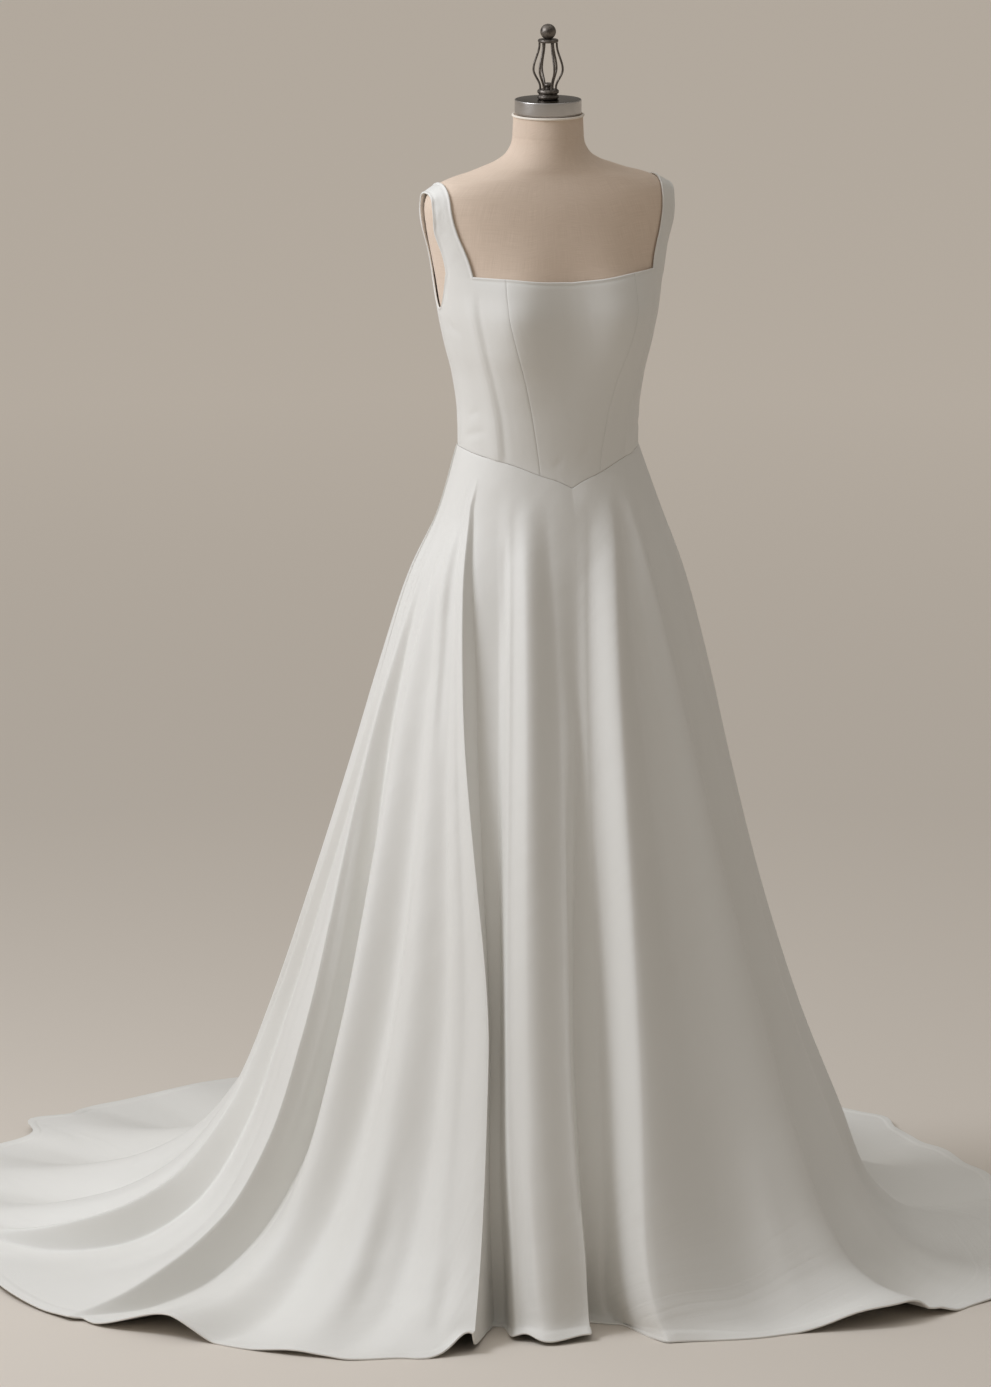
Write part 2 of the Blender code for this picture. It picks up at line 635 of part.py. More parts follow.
def build_bodice():
    """Seven panels: centre front, side fronts and side backs with straps, centre backs."""
    front = ("princess", "strap_inner", "strap_outer", "side")
    back = ("side", "back_outer", "back_inner", "back_princess")
    princess = named_line("princess")
    centre_back = (named_line("back_princess"), lambda height: 180.0)
    for side, hand in ((-1, "right"), (1, "left")):
        strap_panel("bodice_side_front_" + hand, front, (3, 3, 3), front_top, side, True)
        strap_panel("bodice_side_back_" + hand, back, (2, 3, 4), back_top, side, False)
        plain_panel("bodice_centre_back_" + hand, centre_back, (5,), back_top, side)
    across = (lambda height: -princess(height), lambda height: 0.0, princess)
    plain_panel("bodice_centre_front", across, (6, 6), front_top, 1)


def lofted(name, rings, material):
    """A closed body through rings of points, with flat ends."""
    sides = len(rings[0])
    verts = [p for ring in rings for p in ring]
    faces = []
    for i in range(len(rings) - 1):
        for j in range(sides):
            a, b = i * sides + j, i * sides + (j + 1) % sides
            faces.append([a, b, b + sides, a + sides])
    faces.append(list(range(sides)))
    faces.append([(len(rings) - 1) * sides + j for j in range(sides)])
    return add_object(name, verts, faces, material)


def turned(name, profile, sides, material):
    """A closed turned body. The profile's rows are radius and height, bottom to top."""
    rings = []
    for radius, height in profile:
        turns = [2 * math.pi * j / sides for j in range(sides)]
        rings.append([(radius * math.sin(t), -radius * math.cos(t), height) for t in turns])
    return lofted(name, rings, material)


def form_ring(height, inset):
    step = 360 / FORM_SIDES
    azimuths = [step * j - 180 for j in range(FORM_SIDES)]
    return [tuple(torso_inside(azimuth, height, inset)) for azimuth in azimuths]


def build_form():
    """Torso and neck, a constant step inside the fitted cloth, with a rounded lower edge."""
    inset = WALL + FORM_GAP
    rings = []
    for angle in (0, 30, 60, 90):
        turn = math.radians(angle)
        rise = FORM_BOTTOM_ROUND * (1 - math.cos(turn))
        tuck = FORM_BOTTOM_ROUND * (1 - math.sin(turn))
        ring = form_ring(FORM_BOTTOM + FORM_BOTTOM_ROUND, inset + tuck)
        rings.append([(x, y, FORM_BOTTOM + rise) for x, y, _ in ring])
    shoulder = [ring.height for ring in TORSO[:-1] if ring.height > FORM_LEVELS[-1]]
    rings += [form_ring(height, inset) for height in (*FORM_LEVELS, *shoulder)]
    rim = NECK_TOP - NECK_RIM_HEIGHT
    rings.append(form_ring(rim, inset))
    rings.append(form_ring(rim, inset - NECK_RIM_PROUD))
    rings.append([(x, y, NECK_TOP) for x, y, _ in rings[-1]])
    lofted("form_torso", rings, linen)


def build_cap():
    low = NECK_TOP + SEAM
    high = low + CAP_HEIGHT
    profile = ((CAP_RADIUS, low), (CAP_RADIUS, high - CAP_EDGE), (CAP_RADIUS - CAP_EDGE, high))
    turned("neck_cap", profile, 40, steel)
    return high + SEAM


def wire(name, turn, low):
    """A bowed wire of the finial's cage, as a curve with a round section."""
    curve = bpy.data.curves.new(name, "CURVE")
    curve.dimensions = "3D"
    curve.bevel_depth = WIRE_RADIUS
    curve.bevel_resolution = 1
    curve.use_fill_caps = True
    line = curve.splines.new("POLY")
    stops = (0, 0.04, 0.42, 0.96, 1)
    radii = (WIRE_FOOT_RADIUS, WIRE_FOOT_RADIUS, WIRE_BULGE_RADIUS,
             WIRE_HEAD_RADIUS, WIRE_HEAD_RADIUS)
    shares = (0, 0.04, 0.14, 0.26, 0.38, 0.50, 0.62, 0.74, 0.86, 0.96, 1)
    line.points.add(len(shares) - 1)
    for k, share in enumerate(shares):
        radius = float(glide(stops, radii, share))
        point = (radius * math.sin(turn), -radius * math.cos(turn), low + CAGE_HEIGHT * share, 1)
        line.points[k].co = point
    item = bpy.data.objects.new(name, curve)
    curve.materials.append(pewter(name + "_finish"))
    bpy.context.scene.collection.objects.link(item)


def lifted(profile, low):
    return [(radius, low + height) for radius, height in profile]


def build_finial(low):
    """Collar, knob, six wires, ring and ball, from the cap upwards."""
    edge = COLLAR_RADIUS - COLLAR_GROOVE / 2
    groove = COLLAR_RADIUS - COLLAR_GROOVE
    collar = ((edge, 0), (COLLAR_RADIUS, 0.0020), (COLLAR_RADIUS, 0.0045), (groove, 0.0060),
              (groove, 0.0070), (COLLAR_RADIUS, 0.0085), (COLLAR_RADIUS, 0.0110), (edge, 0.0130))
    turned("finial_collar", lifted(collar, low), 20, pewter)
    cage = low + collar[-1][1] + SEAM
    knob = ((KNOB_STEM, 0), (KNOB_STEM, 0.0030), (KNOB_RADIUS, 0.0045), (KNOB_RADIUS, 0.0070),
            (KNOB_STEM, 0.0085))
    turned("finial_knob", lifted(knob, cage), 16, pewter)
    for k in range(WIRE_COUNT):
        turn = math.radians(WIRE_START + 360 * k / WIRE_COUNT)
        wire("finial_wire_" + str(k + 1), turn, cage)
    ring = ((RING_RADIUS - RING_EDGE, 0), (RING_RADIUS, RING_EDGE),
            (RING_RADIUS, RING_HEIGHT - RING_EDGE), (RING_RADIUS - RING_EDGE, RING_HEIGHT))
    seat = cage + CAGE_HEIGHT + SEAM
    turned("finial_ring", lifted(ring, seat), 20, pewter)
    first = math.radians(BALL_SEAT_ANGLE)
    centre = seat + RING_HEIGHT + SEAM + BALL_RADIUS * math.cos(first)
    ball = []
    for k in range(BALL_RINGS):
        turn = first + (math.radians(178) - first) * k / (BALL_RINGS - 1)
        ball.append((BALL_RADIUS * math.sin(turn), centre - BALL_RADIUS * math.cos(turn)))
    turned("finial_ball", ball, 20, pewter)


def build_stand():
    """Round floor plate, and the pole from it up to the torso."""
    profile = ((BASE_RADIUS, 0.0), (BASE_RADIUS, BASE_HEIGHT - BASE_EDGE),
               (BASE_RADIUS - BASE_EDGE, BASE_HEIGHT))
    turned("form_base", profile, 48, black_paint)
    low, high = BASE_HEIGHT + SEAM, FORM_BOTTOM - SEAM
    turned("form_pole", ((POLE_RADIUS, low), (POLE_RADIUS, high)), 24, black_paint)


def main():
    for item in list(bpy.data.objects):
        bpy.data.objects.remove(item, do_unlink=True)
    build_skirt()
    build_bodice()
    build_form()
    build_finial(build_cap())
    build_stand()


main()
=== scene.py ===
"""The looks of a sleeveless wedding dress on its dress form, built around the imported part.

Metres, +Z up, in the part's own frame: the dress faces -Y, and +X is the wearer's left. An azimuth
is in degrees from the front, positive towards +X. A skirt level is 0 at the waist seam, 6 at the
knee and 11 at the hem. Each cloth piece is a thin shell on its solid's own form.
"""

import math
from collections import namedtuple

import bpy
import numpy as np
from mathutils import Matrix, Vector, kdtree


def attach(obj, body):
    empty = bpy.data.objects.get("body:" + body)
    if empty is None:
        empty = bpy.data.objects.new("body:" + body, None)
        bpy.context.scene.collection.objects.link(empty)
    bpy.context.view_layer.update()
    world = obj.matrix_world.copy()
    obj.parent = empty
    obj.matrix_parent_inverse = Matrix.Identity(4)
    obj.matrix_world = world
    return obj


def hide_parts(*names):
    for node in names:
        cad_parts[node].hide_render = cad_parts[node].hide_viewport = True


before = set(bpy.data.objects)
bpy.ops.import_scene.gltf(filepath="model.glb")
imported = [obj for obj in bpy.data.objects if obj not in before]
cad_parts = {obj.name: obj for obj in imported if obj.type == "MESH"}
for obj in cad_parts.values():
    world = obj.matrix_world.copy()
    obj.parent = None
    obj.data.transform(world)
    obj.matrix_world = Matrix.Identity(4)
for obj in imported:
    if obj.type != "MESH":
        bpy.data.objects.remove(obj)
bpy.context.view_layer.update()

# Camera, floor and overhead light
CAMERA_AZIMUTH = -19.0
CAMERA_DISTANCE = 14.0
CAMERA_HEIGHT = 3.5
CAMERA_AIM = Vector((-0.0661, 0.0226, 0.7637))
CAMERA_LENS = 275.7
SENSOR = 36.0
FLOOR_HALF = 80.0
OVERHEAD_AZIMUTH = -120.0
OVERHEAD_RISE = 75.0

# Cloth
WALL = 0.0020
SEAM = 0.0003
FORM_GAP = 0.0022
SHOULDER_GAP = 0.0006
EDGE_STEPS = (0.0, 0.0004, 0.0010, 0.0020, 0.0035, 0.0060)
HEM_STEPS = (0.0, 0.0003, 0.0009, 0.0020, 0.0050, 0.0100, 0.0140, 0.0160, 0.0200, 0.0300)
SEAM_DIP = 0.0003
SEAM_DIP_WIDTH = 0.0010
EDGE_ROLL = 0.0010
HEM_CLEAR = 0.0002
HEM_THIN = 0.0004
HEM_DEPTH = 0.0150
HEM_PROUD = 0.0007
HEM_STEP = 0.0006
PUCKER = 0.00018
PUCKER_LENGTH = 0.011
PUCKER_REACH = 0.007
EDGE_BEAD = 0.0006
EDGE_BEAD_AT = 0.0016
EDGE_BEAD_WIDTH = 0.0011
UNDERSTITCH = 0.0004
UNDERSTITCH_AT = 0.0048
STRAP_BLEND_ROWS = 12
SECTION_COLUMNS = 9
SECTION_WIDTH = 0.028
BODICE_ROWS = 60
BODICE_HEIGHT = 0.26
STRAP_ROWS = 44
STRAP_LENGTH = 0.13
CREPE_GRAIN = 900.0
SATIN_THREAD = 0.0006
LINEN_THREAD = 0.0008
NOISE_LOW = 0.3
NOISE_HIGH = 0.7

# Searches for a strap's reach from its centre, and for a panel's top edge
RAY_LIMIT = 0.15
RAY_HALVINGS = 40
TOP_ROUNDS = 12

# Form, cap, finial and stand
NECK_TOP = 1.5490
NECK_TOP_RADIUS = 0.0468
NECK_RIM_RADIUS = 0.0017
NECK_SEAM = 1.5195
NECK_SEAM_DIP = 0.0004
NECK_SEAM_WIDTH = 0.0012
FORM_SIDES = 180
FORM_SHOULDER = 1.44
CORD_SIDES = 96
CORD_ROUND = 16
ARC_STEPS = 5
FORM_BOTTOM = 0.8050
FORM_BOTTOM_ROUND = 0.0300
CAP_RADIUS = 0.0445
CAP_HEIGHT = 0.0190
COLLAR_RADIUS = 0.0145
WIRE_RADIUS = 0.0015
WIRE_COUNT = 6
WIRE_START = 6.0
WIRE_FOOT_RADIUS = 0.0105
WIRE_BULGE_RADIUS = 0.0195
WIRE_HEAD_RADIUS = 0.0115
CAGE_HEIGHT = 0.0620
RING_RADIUS = 0.0137
RING_HEIGHT = 0.0045
BALL_RADIUS = 0.0105
BALL_SEAT_ANGLE = 25
POLE_RADIUS = 0.0150
BASE_RADIUS = 0.1900
BASE_HEIGHT = 0.0120

# Outer face of the fitted cloth at each height: half width, depth in front and behind, squareness
# of the section, and the extra reach over each bust point. All but the squareness in millimetres.
Ring = namedtuple("Ring", "height half_width front back square bust")
TORSO = np.array((
    Ring(800, 150, 110, 120, 2.00, 0),
    Ring(860, 168, 124, 134, 2.05, 0),
    Ring(930, 170, 124, 136, 2.05, 0),
    Ring(990, 153, 113, 122, 2.05, 0),
    Ring(1040, 134, 103, 106, 2.05, 0),
    Ring(1095, 122.5, 96, 93, 2.10, 0),
    Ring(1150, 123.5, 98, 91, 2.15, 1),
    Ring(1200, 130, 101, 93, 2.20, 6),
    Ring(1245, 141.5, 104, 96, 2.20, 15),
    Ring(1285, 150, 105, 99, 2.20, 19),
    Ring(1325, 156, 101, 101, 2.20, 13),
    Ring(1360, 163, 93, 101, 2.15, 5),
    Ring(1400, 171, 82, 98, 2.15, 1),
    Ring(1430, 174.5, 73, 91, 2.15, 0),
    Ring(1450, 169, 65, 80, 2.20, 0),
    Ring(1463, 153, 59, 70, 2.20, 0),
    Ring(1470, 136, 56, 65, 2.20, 0),
    Ring(1476, 114, 54, 61, 2.15, 0),
    Ring(1483, 94, 53, 57, 2.05, 0),
    Ring(1490, 75, 52, 54, 2.00, 0),
    Ring(1500, 60, 51, 52, 2.00, 0),
    Ring(1515, 52.5, 50.5, 51, 2.00, 0),
    Ring(1549, 50.5, 50.5, 50.5, 2.00, 0),
)) / (1000, 1000, 1000, 1000, 1, 1000)
BUST_AZIMUTH = 36.0
BUST_SPREAD = 20.0

# Waist seam and neckline heights by azimuth, the same on both sides
WAIST_SEAM = np.array((
    (0, 1.060),
    (10, 1.069),
    (25, 1.078),
    (45, 1.0915),
    (65, 1.100),
    (90, 1.106),
    (135, 1.104),
    (180, 1.100),
))
NECKLINE = np.array((
    (0, 1.3370),
    (20, 1.3390),
    (45, 1.3440),
    (63, 1.3450),
))
BACK_NECKLINE_DIP = 0.0080

# Azimuths of the bodice seams and strap edges at each height
Lines = namedtuple(
    "Lines", "height princess strap_inner strap_outer side back_outer back_inner back_princess centre"
)
BODICE_LINES = np.array((
    Lines(1.055, 23, 48.5, 70, 90, 108, 128, 154, 180),
    Lines(1.120, 27.5, 50, 71.5, 90.5, 107, 126, 153, 180),
    Lines(1.180, 32, 52.5, 73.5, 91, 106, 123.5, 151, 180),
    Lines(1.250, 37, 56.5, 76.5, 91.5, 104.5, 120, 148, 180),
    Lines(1.300, 41, 60, 78.5, 92, 103, 117.5, 145.5, 180),
    Lines(1.345, 45, 63, 79, 92, 102, 115.5, 143.5, 180),
))
STRAP_BASE = 1.345
UNDERARM = 1.295
STRAP_CENTRE = 1.385
STRAP_ACROSS = 0.10

# Azimuth of the dart in each side front, by height
DART = np.array((
    (1.106, 49.8),
    (1.145, 50.8),
    (1.202, 54.0),
    (1.270, 56.8),
    (1.311, 59.5),
))
DART_STARTS = (1.086, 1.106)
DART_ENDS = (1.29, 1.33)
DART_DEPTH = 0.0010
DART_WIDTH = 0.0050
DART_FULLNESS = 0.0022
DART_SPREAD = 0.0110

# Soft drag creases of the bodice, each between two points given as azimuth and height. Depth and
# half width are in millimetres.
Drag = namedtuple("Drag", "azimuth height to_azimuth to_height depth width")
DRAGS = (
    Drag(-86, 1.122, -58, 1.138, 1.2, 5),
    Drag(-80, 1.150, -64, 1.166, 0.9, 4.5),
    Drag(-88, 1.282, -70, 1.262, 1.2, 6),
    Drag(-16, 1.086, -4, 1.102, 0.8, 4.5),
    Drag(6, 1.096, 20, 1.120, 0.9, 5.5),
    Drag(84, 1.126, 60, 1.146, 1.2, 5),
    Drag(78, 1.158, 62, 1.170, 0.8, 4.5),
    Drag(88, 1.280, 72, 1.258, 1.2, 6),
    Drag(100, 1.124, 132, 1.140, 1.3, 5.5),
    Drag(112, 1.160, 140, 1.168, 1, 5),
    Drag(172, 1.130, 150, 1.146, 0.9, 4.5),
    Drag(-98, 1.126, -128, 1.144, 1.3, 5.5),
    Drag(-116, 1.164, -138, 1.158, 1, 4.5),
    Drag(-170, 1.136, -148, 1.150, 1, 5),
)

# The strap's edges on their way up from the panel to the shoulder
Strap = namedtuple("Strap", "way inner outer")
STRAP = np.array((
    Strap(0.0, 0.1310, 0.1545),
    Strap(0.4, 0.1455, 0.1645),
    Strap(0.7, 0.1500, 0.1700),
    Strap(1.0, 0.1500, 0.1715),
))
SHOULDER_EDGE = 0.1580
SHOULDER_PROBE = 0.0080

# Skirt profiles in millimetres, one row for each level below the waist seam
Section = namedtuple("Section", "front_z front side_z left right back_z back")
SKIRT = np.array((
    Section(1000, 122, 1020, 147, 153, 1010, 125),
    Section(920, 152, 930, 186, 185, 920, 167),
    Section(800, 197, 800, 223, 216, 800, 215),
    Section(660, 250, 660, 259, 243, 640, 270),
    Section(500, 313, 500, 303, 278, 460, 335),
    Section(340, 376, 340, 351, 325, 300, 400),
    Section(200, 430, 190, 405, 385, 165, 480),
    Section(100, 467, 85, 470, 428, 75, 580),
    Section(40, 490, 30, 545, 492, 28, 700),
    Section(12, 505, 8, 625, 585, 8, 860),
    Section(0, 520, 0, 720, 690, 0, 1080),
)) / 1000
HEM_LEVEL = len(SKIRT)
REACH_STARTS = 6.5

# Ridges and valleys of the skirt from centre back round by the wearer's right and the front, with
# azimuths at five levels, depths at four and the lift at the hem in millimetres, and the hem's
# reach in metres
AZIMUTH_LEVELS = (0.8, 3.2, 6.0, 8.2, 10.5)
DEPTH_LEVELS = (0.4, 1.6, 3.2, 6.0, 8.5, 11.0)
Fold = namedtuple(
    "Fold", "waist hip knee shin hem high_depth hip_depth knee_depth foot_depth lift reach"
)
FOLDS = np.array((
    Fold(-180, -180, -180, -180, -180, 0, 0, -6, -4, 0, 1.100),
    Fold(-170, -170, -170, -170.5, -171, 4, 10, 24, 24, 4, 1.082),
    Fold(-159, -159, -160, -161, -162, 0, -4, -14, -14, 0, 1.045),
    Fold(-148, -149, -150, -151.5, -153, 3, 10, 26, 28, 10, 1.026),
    Fold(-138, -139, -141, -143, -145, 0, -4, -14, -14, 0, 0.972),
    Fold(-128, -129, -132, -134, -136, 3, 10, 22, 26, 6, 0.944),
    Fold(-119, -120, -124, -126, -128, 0, -3, -12, -14, 0, 0.882),
    Fold(-110, -112, -117, -119, -121, 2, 7, 16, 18, 5, 0.854),
    Fold(-101, -104, -115, -108, -116, 0, 0, -4, -10, 0, 0.818),
    Fold(-97, -99, -111, -100.8, -109.5, 2, 5, 12, 36, 6, 0.808),
    Fold(-92, -96, -109, -99.6, -108, 0, -2, -8, -12, 0, 0.798),
    Fold(-89, -91.5, -93, -87, -91, 1, 2, 4, 6, 10, 0.772),
    Fold(-86.5, -87, -77.2, -76.6, -76, 1, 10, 30, 36, 3, 0.760),
    Fold(-83, -84, -75.6, -75.3, -74.8, 0, -8, -28, -16, 0, 0.745),
    Fold(-79, -74, -67, -66.5, -63.5, 1, 5, 16, 10, 34, 0.705),
    Fold(-76, -66, -58.5, -59.5, -57.5, 0, -4, -16, -12, 0, 0.686),
    Fold(-74, -60, -50, -50, -49, 1, 4, 12, 14, 4, 0.682),
    Fold(-72, -55, -42, -41.4, -43, 0, 2, 0, -10, 0, 0.672),
    Fold(-70, -51, -36.5, -35.5, -35, 3, 8, 14, 16, 4, 0.628),
    Fold(-67, -47.5, -30.3, -28.9, -28.4, 6, 15, 26, 28, 8, 0.598),
    Fold(-65, -46, -31.2, -28.9, -28.4, -5, -14, -14, -18, 0, 0.446),
    Fold(-51, -38, -29.2, -27, -26.6, -7, -16, -15, -20, 0, 0.446),
    Fold(-41, -32, -26.8, -24.2, -23.4, 0, 3, 14, 12, 4, 0.520),
    Fold(-31, -25.5, -22.2, -19.6, -19, 9, 16, 24, 22, 6, 0.538),
    Fold(-18, -14, -14.3, -12.8, -12.6, -3, -6, 4, 4, 12, 0.512),
    Fold(0, -7, -12.8, -11.8, -11.6, -6, -16, -38, -44, 0, 0.424),
    Fold(8, -2.8, -7.6, -8.8, -6.5, -5, -12, -36, -40, 0, 0.440),
    Fold(24, 7, -0.8, -3.4, -2, 9, 18, 22, 18, 2, 0.548),
    Fold(33, 19, 13, 12, 13, -3, -7, -10, -10, 0, 0.574),
    Fold(40, 34, 30.5, 28.6, 30, 6, 12, 20, 30, 30, 0.622),
    Fold(49, 44, 40, 38, 39, -2, -8, -14, -18, 2, 0.650),
    Fold(59, 54, 51, 50, 52, 1, 4, 6, 8, 6, 0.680),
    Fold(72, 66, 62, 63.5, 66, 0, -2, -6, -12, 0, 0.688),
    Fold(84, 80, 77, 78.5, 81, 1, 5, 12, 8, 4, 0.692),
    Fold(94, 92, 91, 92, 94, 0, -2, -8, -12, 0, 0.694),
    Fold(104, 103, 104, 105.5, 107, 2, 7, 18, 22, 5, 0.740),
    Fold(115, 115, 116, 117, 118, 0, -3, -10, -12, 0, 0.795),
    Fold(126, 126, 128, 128.5, 129, 3, 10, 22, 26, 6, 0.885),
    Fold(137, 138, 140, 140.5, 141, 0, -4, -12, -13, 0, 0.955),
    Fold(148, 149, 151, 151.5, 152, 3, 10, 24, 26, 8, 1.020),
    Fold(159, 159, 161, 161.5, 162, 0, -4, -14, -13, 0, 1.045),
    Fold(170, 170, 170, 170.5, 171, 4, 10, 24, 22, 4, 1.082),
))
RIGHT_SIDE_SEAM = 8
LEFT_SIDE_SEAM = 34
SEAM_PLACES = np.array((0.012, 0.03, 0.06, 0.11)) / 3

# A record of the flat size and area of the cloth that a piece is cut from; nothing here fills it in
Cut = namedtuple("Cut", "flat area")

# Smaller creases of the skirt. Each runs from a level and a place along FOLDS down to another. Its
# height, negative for a trough, and its half width are in millimetres.
Crease = namedtuple("Crease", "top start low end height width")
CREASES = (
    Crease(2.2, 0.6, 6.8, 0.4, 5, 16),
    Crease(3.5, 1.5, 8.4, 1.6, -4, 14),
    Crease(1.6, 2.5, 5.2, 2.6, 4, 12),
    Crease(4.4, 3.4, 9.8, 3.3, 5, 18),
    Crease(2.4, 4.4, 7.2, 4.6, -4, 13),
    Crease(5.4, 5.5, 10.2, 5.4, 5, 17),
    Crease(2.0, 6.4, 6.4, 6.6, -3, 11),
    Crease(6.2, 7.4, 10.4, 7.3, 4, 15),
    Crease(1.4, 11.5, 4.2, 11.4, -3, 8),
    Crease(5.0, 11.6, 8.6, 11.5, 4, 14),
    Crease(3.6, 12.42, 8.0, 12.52, 4, 6),
    Crease(1.2, 13.7, 3.6, 13.6, -4, 8),
    Crease(1.0, 15.4, 2.9, 15.5, 3, 7),
    Crease(4.2, 15.6, 7.6, 15.5, 3, 12),
    Crease(1.5, 16.5, 3.9, 16.4, -3, 8),
    Crease(6.6, 16.4, 9.9, 16.5, -4, 15),
    Crease(2.8, 17.5, 7.2, 17.6, 3, 10),
    Crease(7.6, 18.3, 10.5, 18.2, -3, 12),
    Crease(0.9, 21.6, 3.0, 21.5, -3, 7),
    Crease(6.2, 22.7, 10.2, 22.8, 3, 9),
    Crease(1.8, 23.5, 6.6, 23.5, -3, 9),
    Crease(2.6, 24.4, 5.4, 24.5, 3, 8),
    Crease(2.4, 25.4, 16.0, 25.4, -12, 18),
    Crease(4.6, 27.4, 9.4, 27.4, -3, 13),
    Crease(1.3, 28.4, 4.0, 28.5, 3, 10),
    Crease(6.4, 28.5, 10.3, 28.4, 4, 18),
    Crease(3.0, 29.0, 14.0, 29.0, 6, 10),
    Crease(3.0, 29.5, 14.0, 29.4, -9, 12),
    Crease(1.0, 29.6, 3.6, 29.5, -4, 9),
    Crease(7.4, 30.6, 10.4, 30.5, 5, 14),
    Crease(2.2, 31.4, 6.6, 31.5, 3, 12),
    Crease(6.8, 32.5, 10.0, 32.4, -4, 14),
    Crease(3.0, 33.4, 7.4, 33.3, 4, 12),
    Crease(2.4, 35.5, 7.4, 35.4, 4, 13),
    Crease(4.6, 36.5, 9.6, 36.6, -4, 15),
    Crease(1.6, 37.5, 5.4, 37.4, 4, 12),
    Crease(5.6, 38.4, 10.0, 38.5, 5, 17),
    Crease(2.2, 39.5, 6.6, 39.4, -4, 13),
    Crease(3.4, 40.5, 8.8, 40.6, 5, 16),
    Crease(1.8, 41.4, 5.8, 41.5, -3, 12),
)

# Where the skirt's hem turns up or is drawn in, by its place along FOLDS. Width, rise and pull are
# in millimetres.
Turn = namedtuple("Turn", "place width rise pull")
HEM_TURNS = (
    Turn(1.2, 60, 6, 30),
    Turn(2.7, 45, 4, 36),
    Turn(3.5, 50, 8, 50),
    Turn(4.6, 36, 3, 36),
    Turn(5.4, 48, 6, 46),
    Turn(6.5, 36, 4, 38),
    Turn(9.6, 30, 16, 0),
    Turn(12.4, 45, 4, 6),
    Turn(16.3, 50, 5, 4),
    Turn(18.0, 35, -4, -4),
    Turn(18.9, 22, 22, 12),
    Turn(22.3, 20, 8, 4),
    Turn(28.6, 45, 6, 2),
    Turn(31.6, 50, 5, 6),
    Turn(36.6, 40, 5, 24),
    Turn(38.1, 60, 7, 30),
    Turn(39.4, 40, 4, 24),
    Turn(40.6, 55, 7, 32),
)
TURN_STARTS = 9.6
FOLD_STEPS = 12
SKIRT_ROWS = 150
DENSE_LEVELS = 331


def glide(stops, rows, at):
    """Read a table between its rows on a smooth curve that never overshoots them."""
    stops = np.asarray(stops, float)
    rows = np.asarray(rows, float)
    at = np.asarray(at, float)
    gaps = np.diff(stops)
    rises = np.diff(rows, axis=0) / gaps.reshape([-1] + [1] * (rows.ndim - 1))
    slopes = np.zeros_like(rows)
    slopes[0] = rises[0]
    slopes[-1] = rises[-1]
    agree = rises[1:] * rises[:-1] > 0
    total = np.where(agree, rises[1:] + rises[:-1], 1.0)
    slopes[1:-1] = np.where(agree, 2 * rises[1:] * rises[:-1] / total, 0.0)
    i = np.clip(np.searchsorted(stops, at) - 1, 0, len(gaps) - 1)
    gap = gaps[i]
    t = np.clip((at - stops[i]) / gap, 0, 1)
    if rows.ndim > 1:
        gap = gap[..., None]
        t = t[..., None]
    start = (2 * t**3 - 3 * t**2 + 1) * rows[i] + (t**3 - 2 * t**2 + t) * gap * slopes[i]
    end = (3 * t**2 - 2 * t**3) * rows[i + 1] + (t**3 - t**2) * gap * slopes[i + 1]
    return start + end


def ease(share):
    return share * share * (3 - 2 * share)


def fade(distance, start, end):
    """0 up to a start, 1 from an end on, and smooth between them."""
    return ease(np.clip((distance - start) / (end - start), 0, 1))


def hump(distance, width):
    return np.exp(-((distance / width) ** 2))


def unit(vectors):
    return vectors / np.maximum(np.linalg.norm(vectors, axis=-1, keepdims=True), 1e-12)


def polar(radius, azimuth, height):
    turn = np.radians(azimuth)
    return np.stack(np.broadcast_arrays(radius * np.sin(turn), -radius * np.cos(turn), height), -1)


def torso_radius(azimuth, height):
    """Reach of the fitted cloth's outer face from the axis."""
    row = glide(TORSO[:, 0], TORSO[:, 1:], height)
    half_width, front, back, square, bust = np.moveaxis(row, -1, 0)
    turn = np.radians(azimuth)
    facing = np.cos(turn)
    across = np.abs(np.sin(turn)) / half_width
    along = np.abs(facing) / np.where(facing > 0, front, back)
    radius = (across**square + along**square) ** (-1 / square)
    off_centre = np.abs(azimuth) - BUST_AZIMUTH
    both = hump(off_centre, BUST_SPREAD) + hump(off_centre + 2 * BUST_AZIMUTH, BUST_SPREAD)
    return radius + np.where(facing > 0, bust * both, 0)


def torso_point(azimuth, height):
    return polar(torso_radius(azimuth, height), azimuth, height)


def torso_inside(azimuth, height, inset):
    """A point a constant step inside the fitted cloth's outer face."""
    step = 0.5
    rise = 0.0005
    around = torso_point(azimuth + step, height) - torso_point(azimuth - step, height)
    top = np.minimum(height + rise, TORSO[-1, 0])
    upward = torso_point(azimuth, top) - torso_point(azimuth, height - rise)
    return torso_point(azimuth, height) - inset * unit(np.cross(around, upward))


def grid_normals(points, centre=None):
    """Directions over a grid that point away from a centre, or from the axis."""
    away = points * (1, 1, 0) if centre is None else points - centre
    normals = unit(np.cross(np.gradient(points, axis=0), np.gradient(points, axis=1)))
    return normals if np.sum(normals * away) > 0 else -normals


def add_object(name, data):
    item = bpy.data.objects.new(name, data)
    bpy.context.scene.collection.objects.link(item)
    return item


def add_mesh(name, verts, faces, material, uv=None):
    mesh = bpy.data.meshes.new(name)
    mesh.from_pydata(verts.tolist(), [], faces.tolist() if hasattr(faces, "tolist") else faces)
    if uv is not None:
        layer = mesh.uv_layers.new(name="UVMap")
        index = np.zeros(len(mesh.loops), int)
        mesh.loops.foreach_get("vertex_index", index)
        layer.data.foreach_set("uv", uv[index].astype(np.float32).ravel())
    mesh.materials.append(material)
    mesh.shade_smooth()
    mesh.set_sharp_from_angle(angle=math.radians(50))
    return add_object(name, mesh)


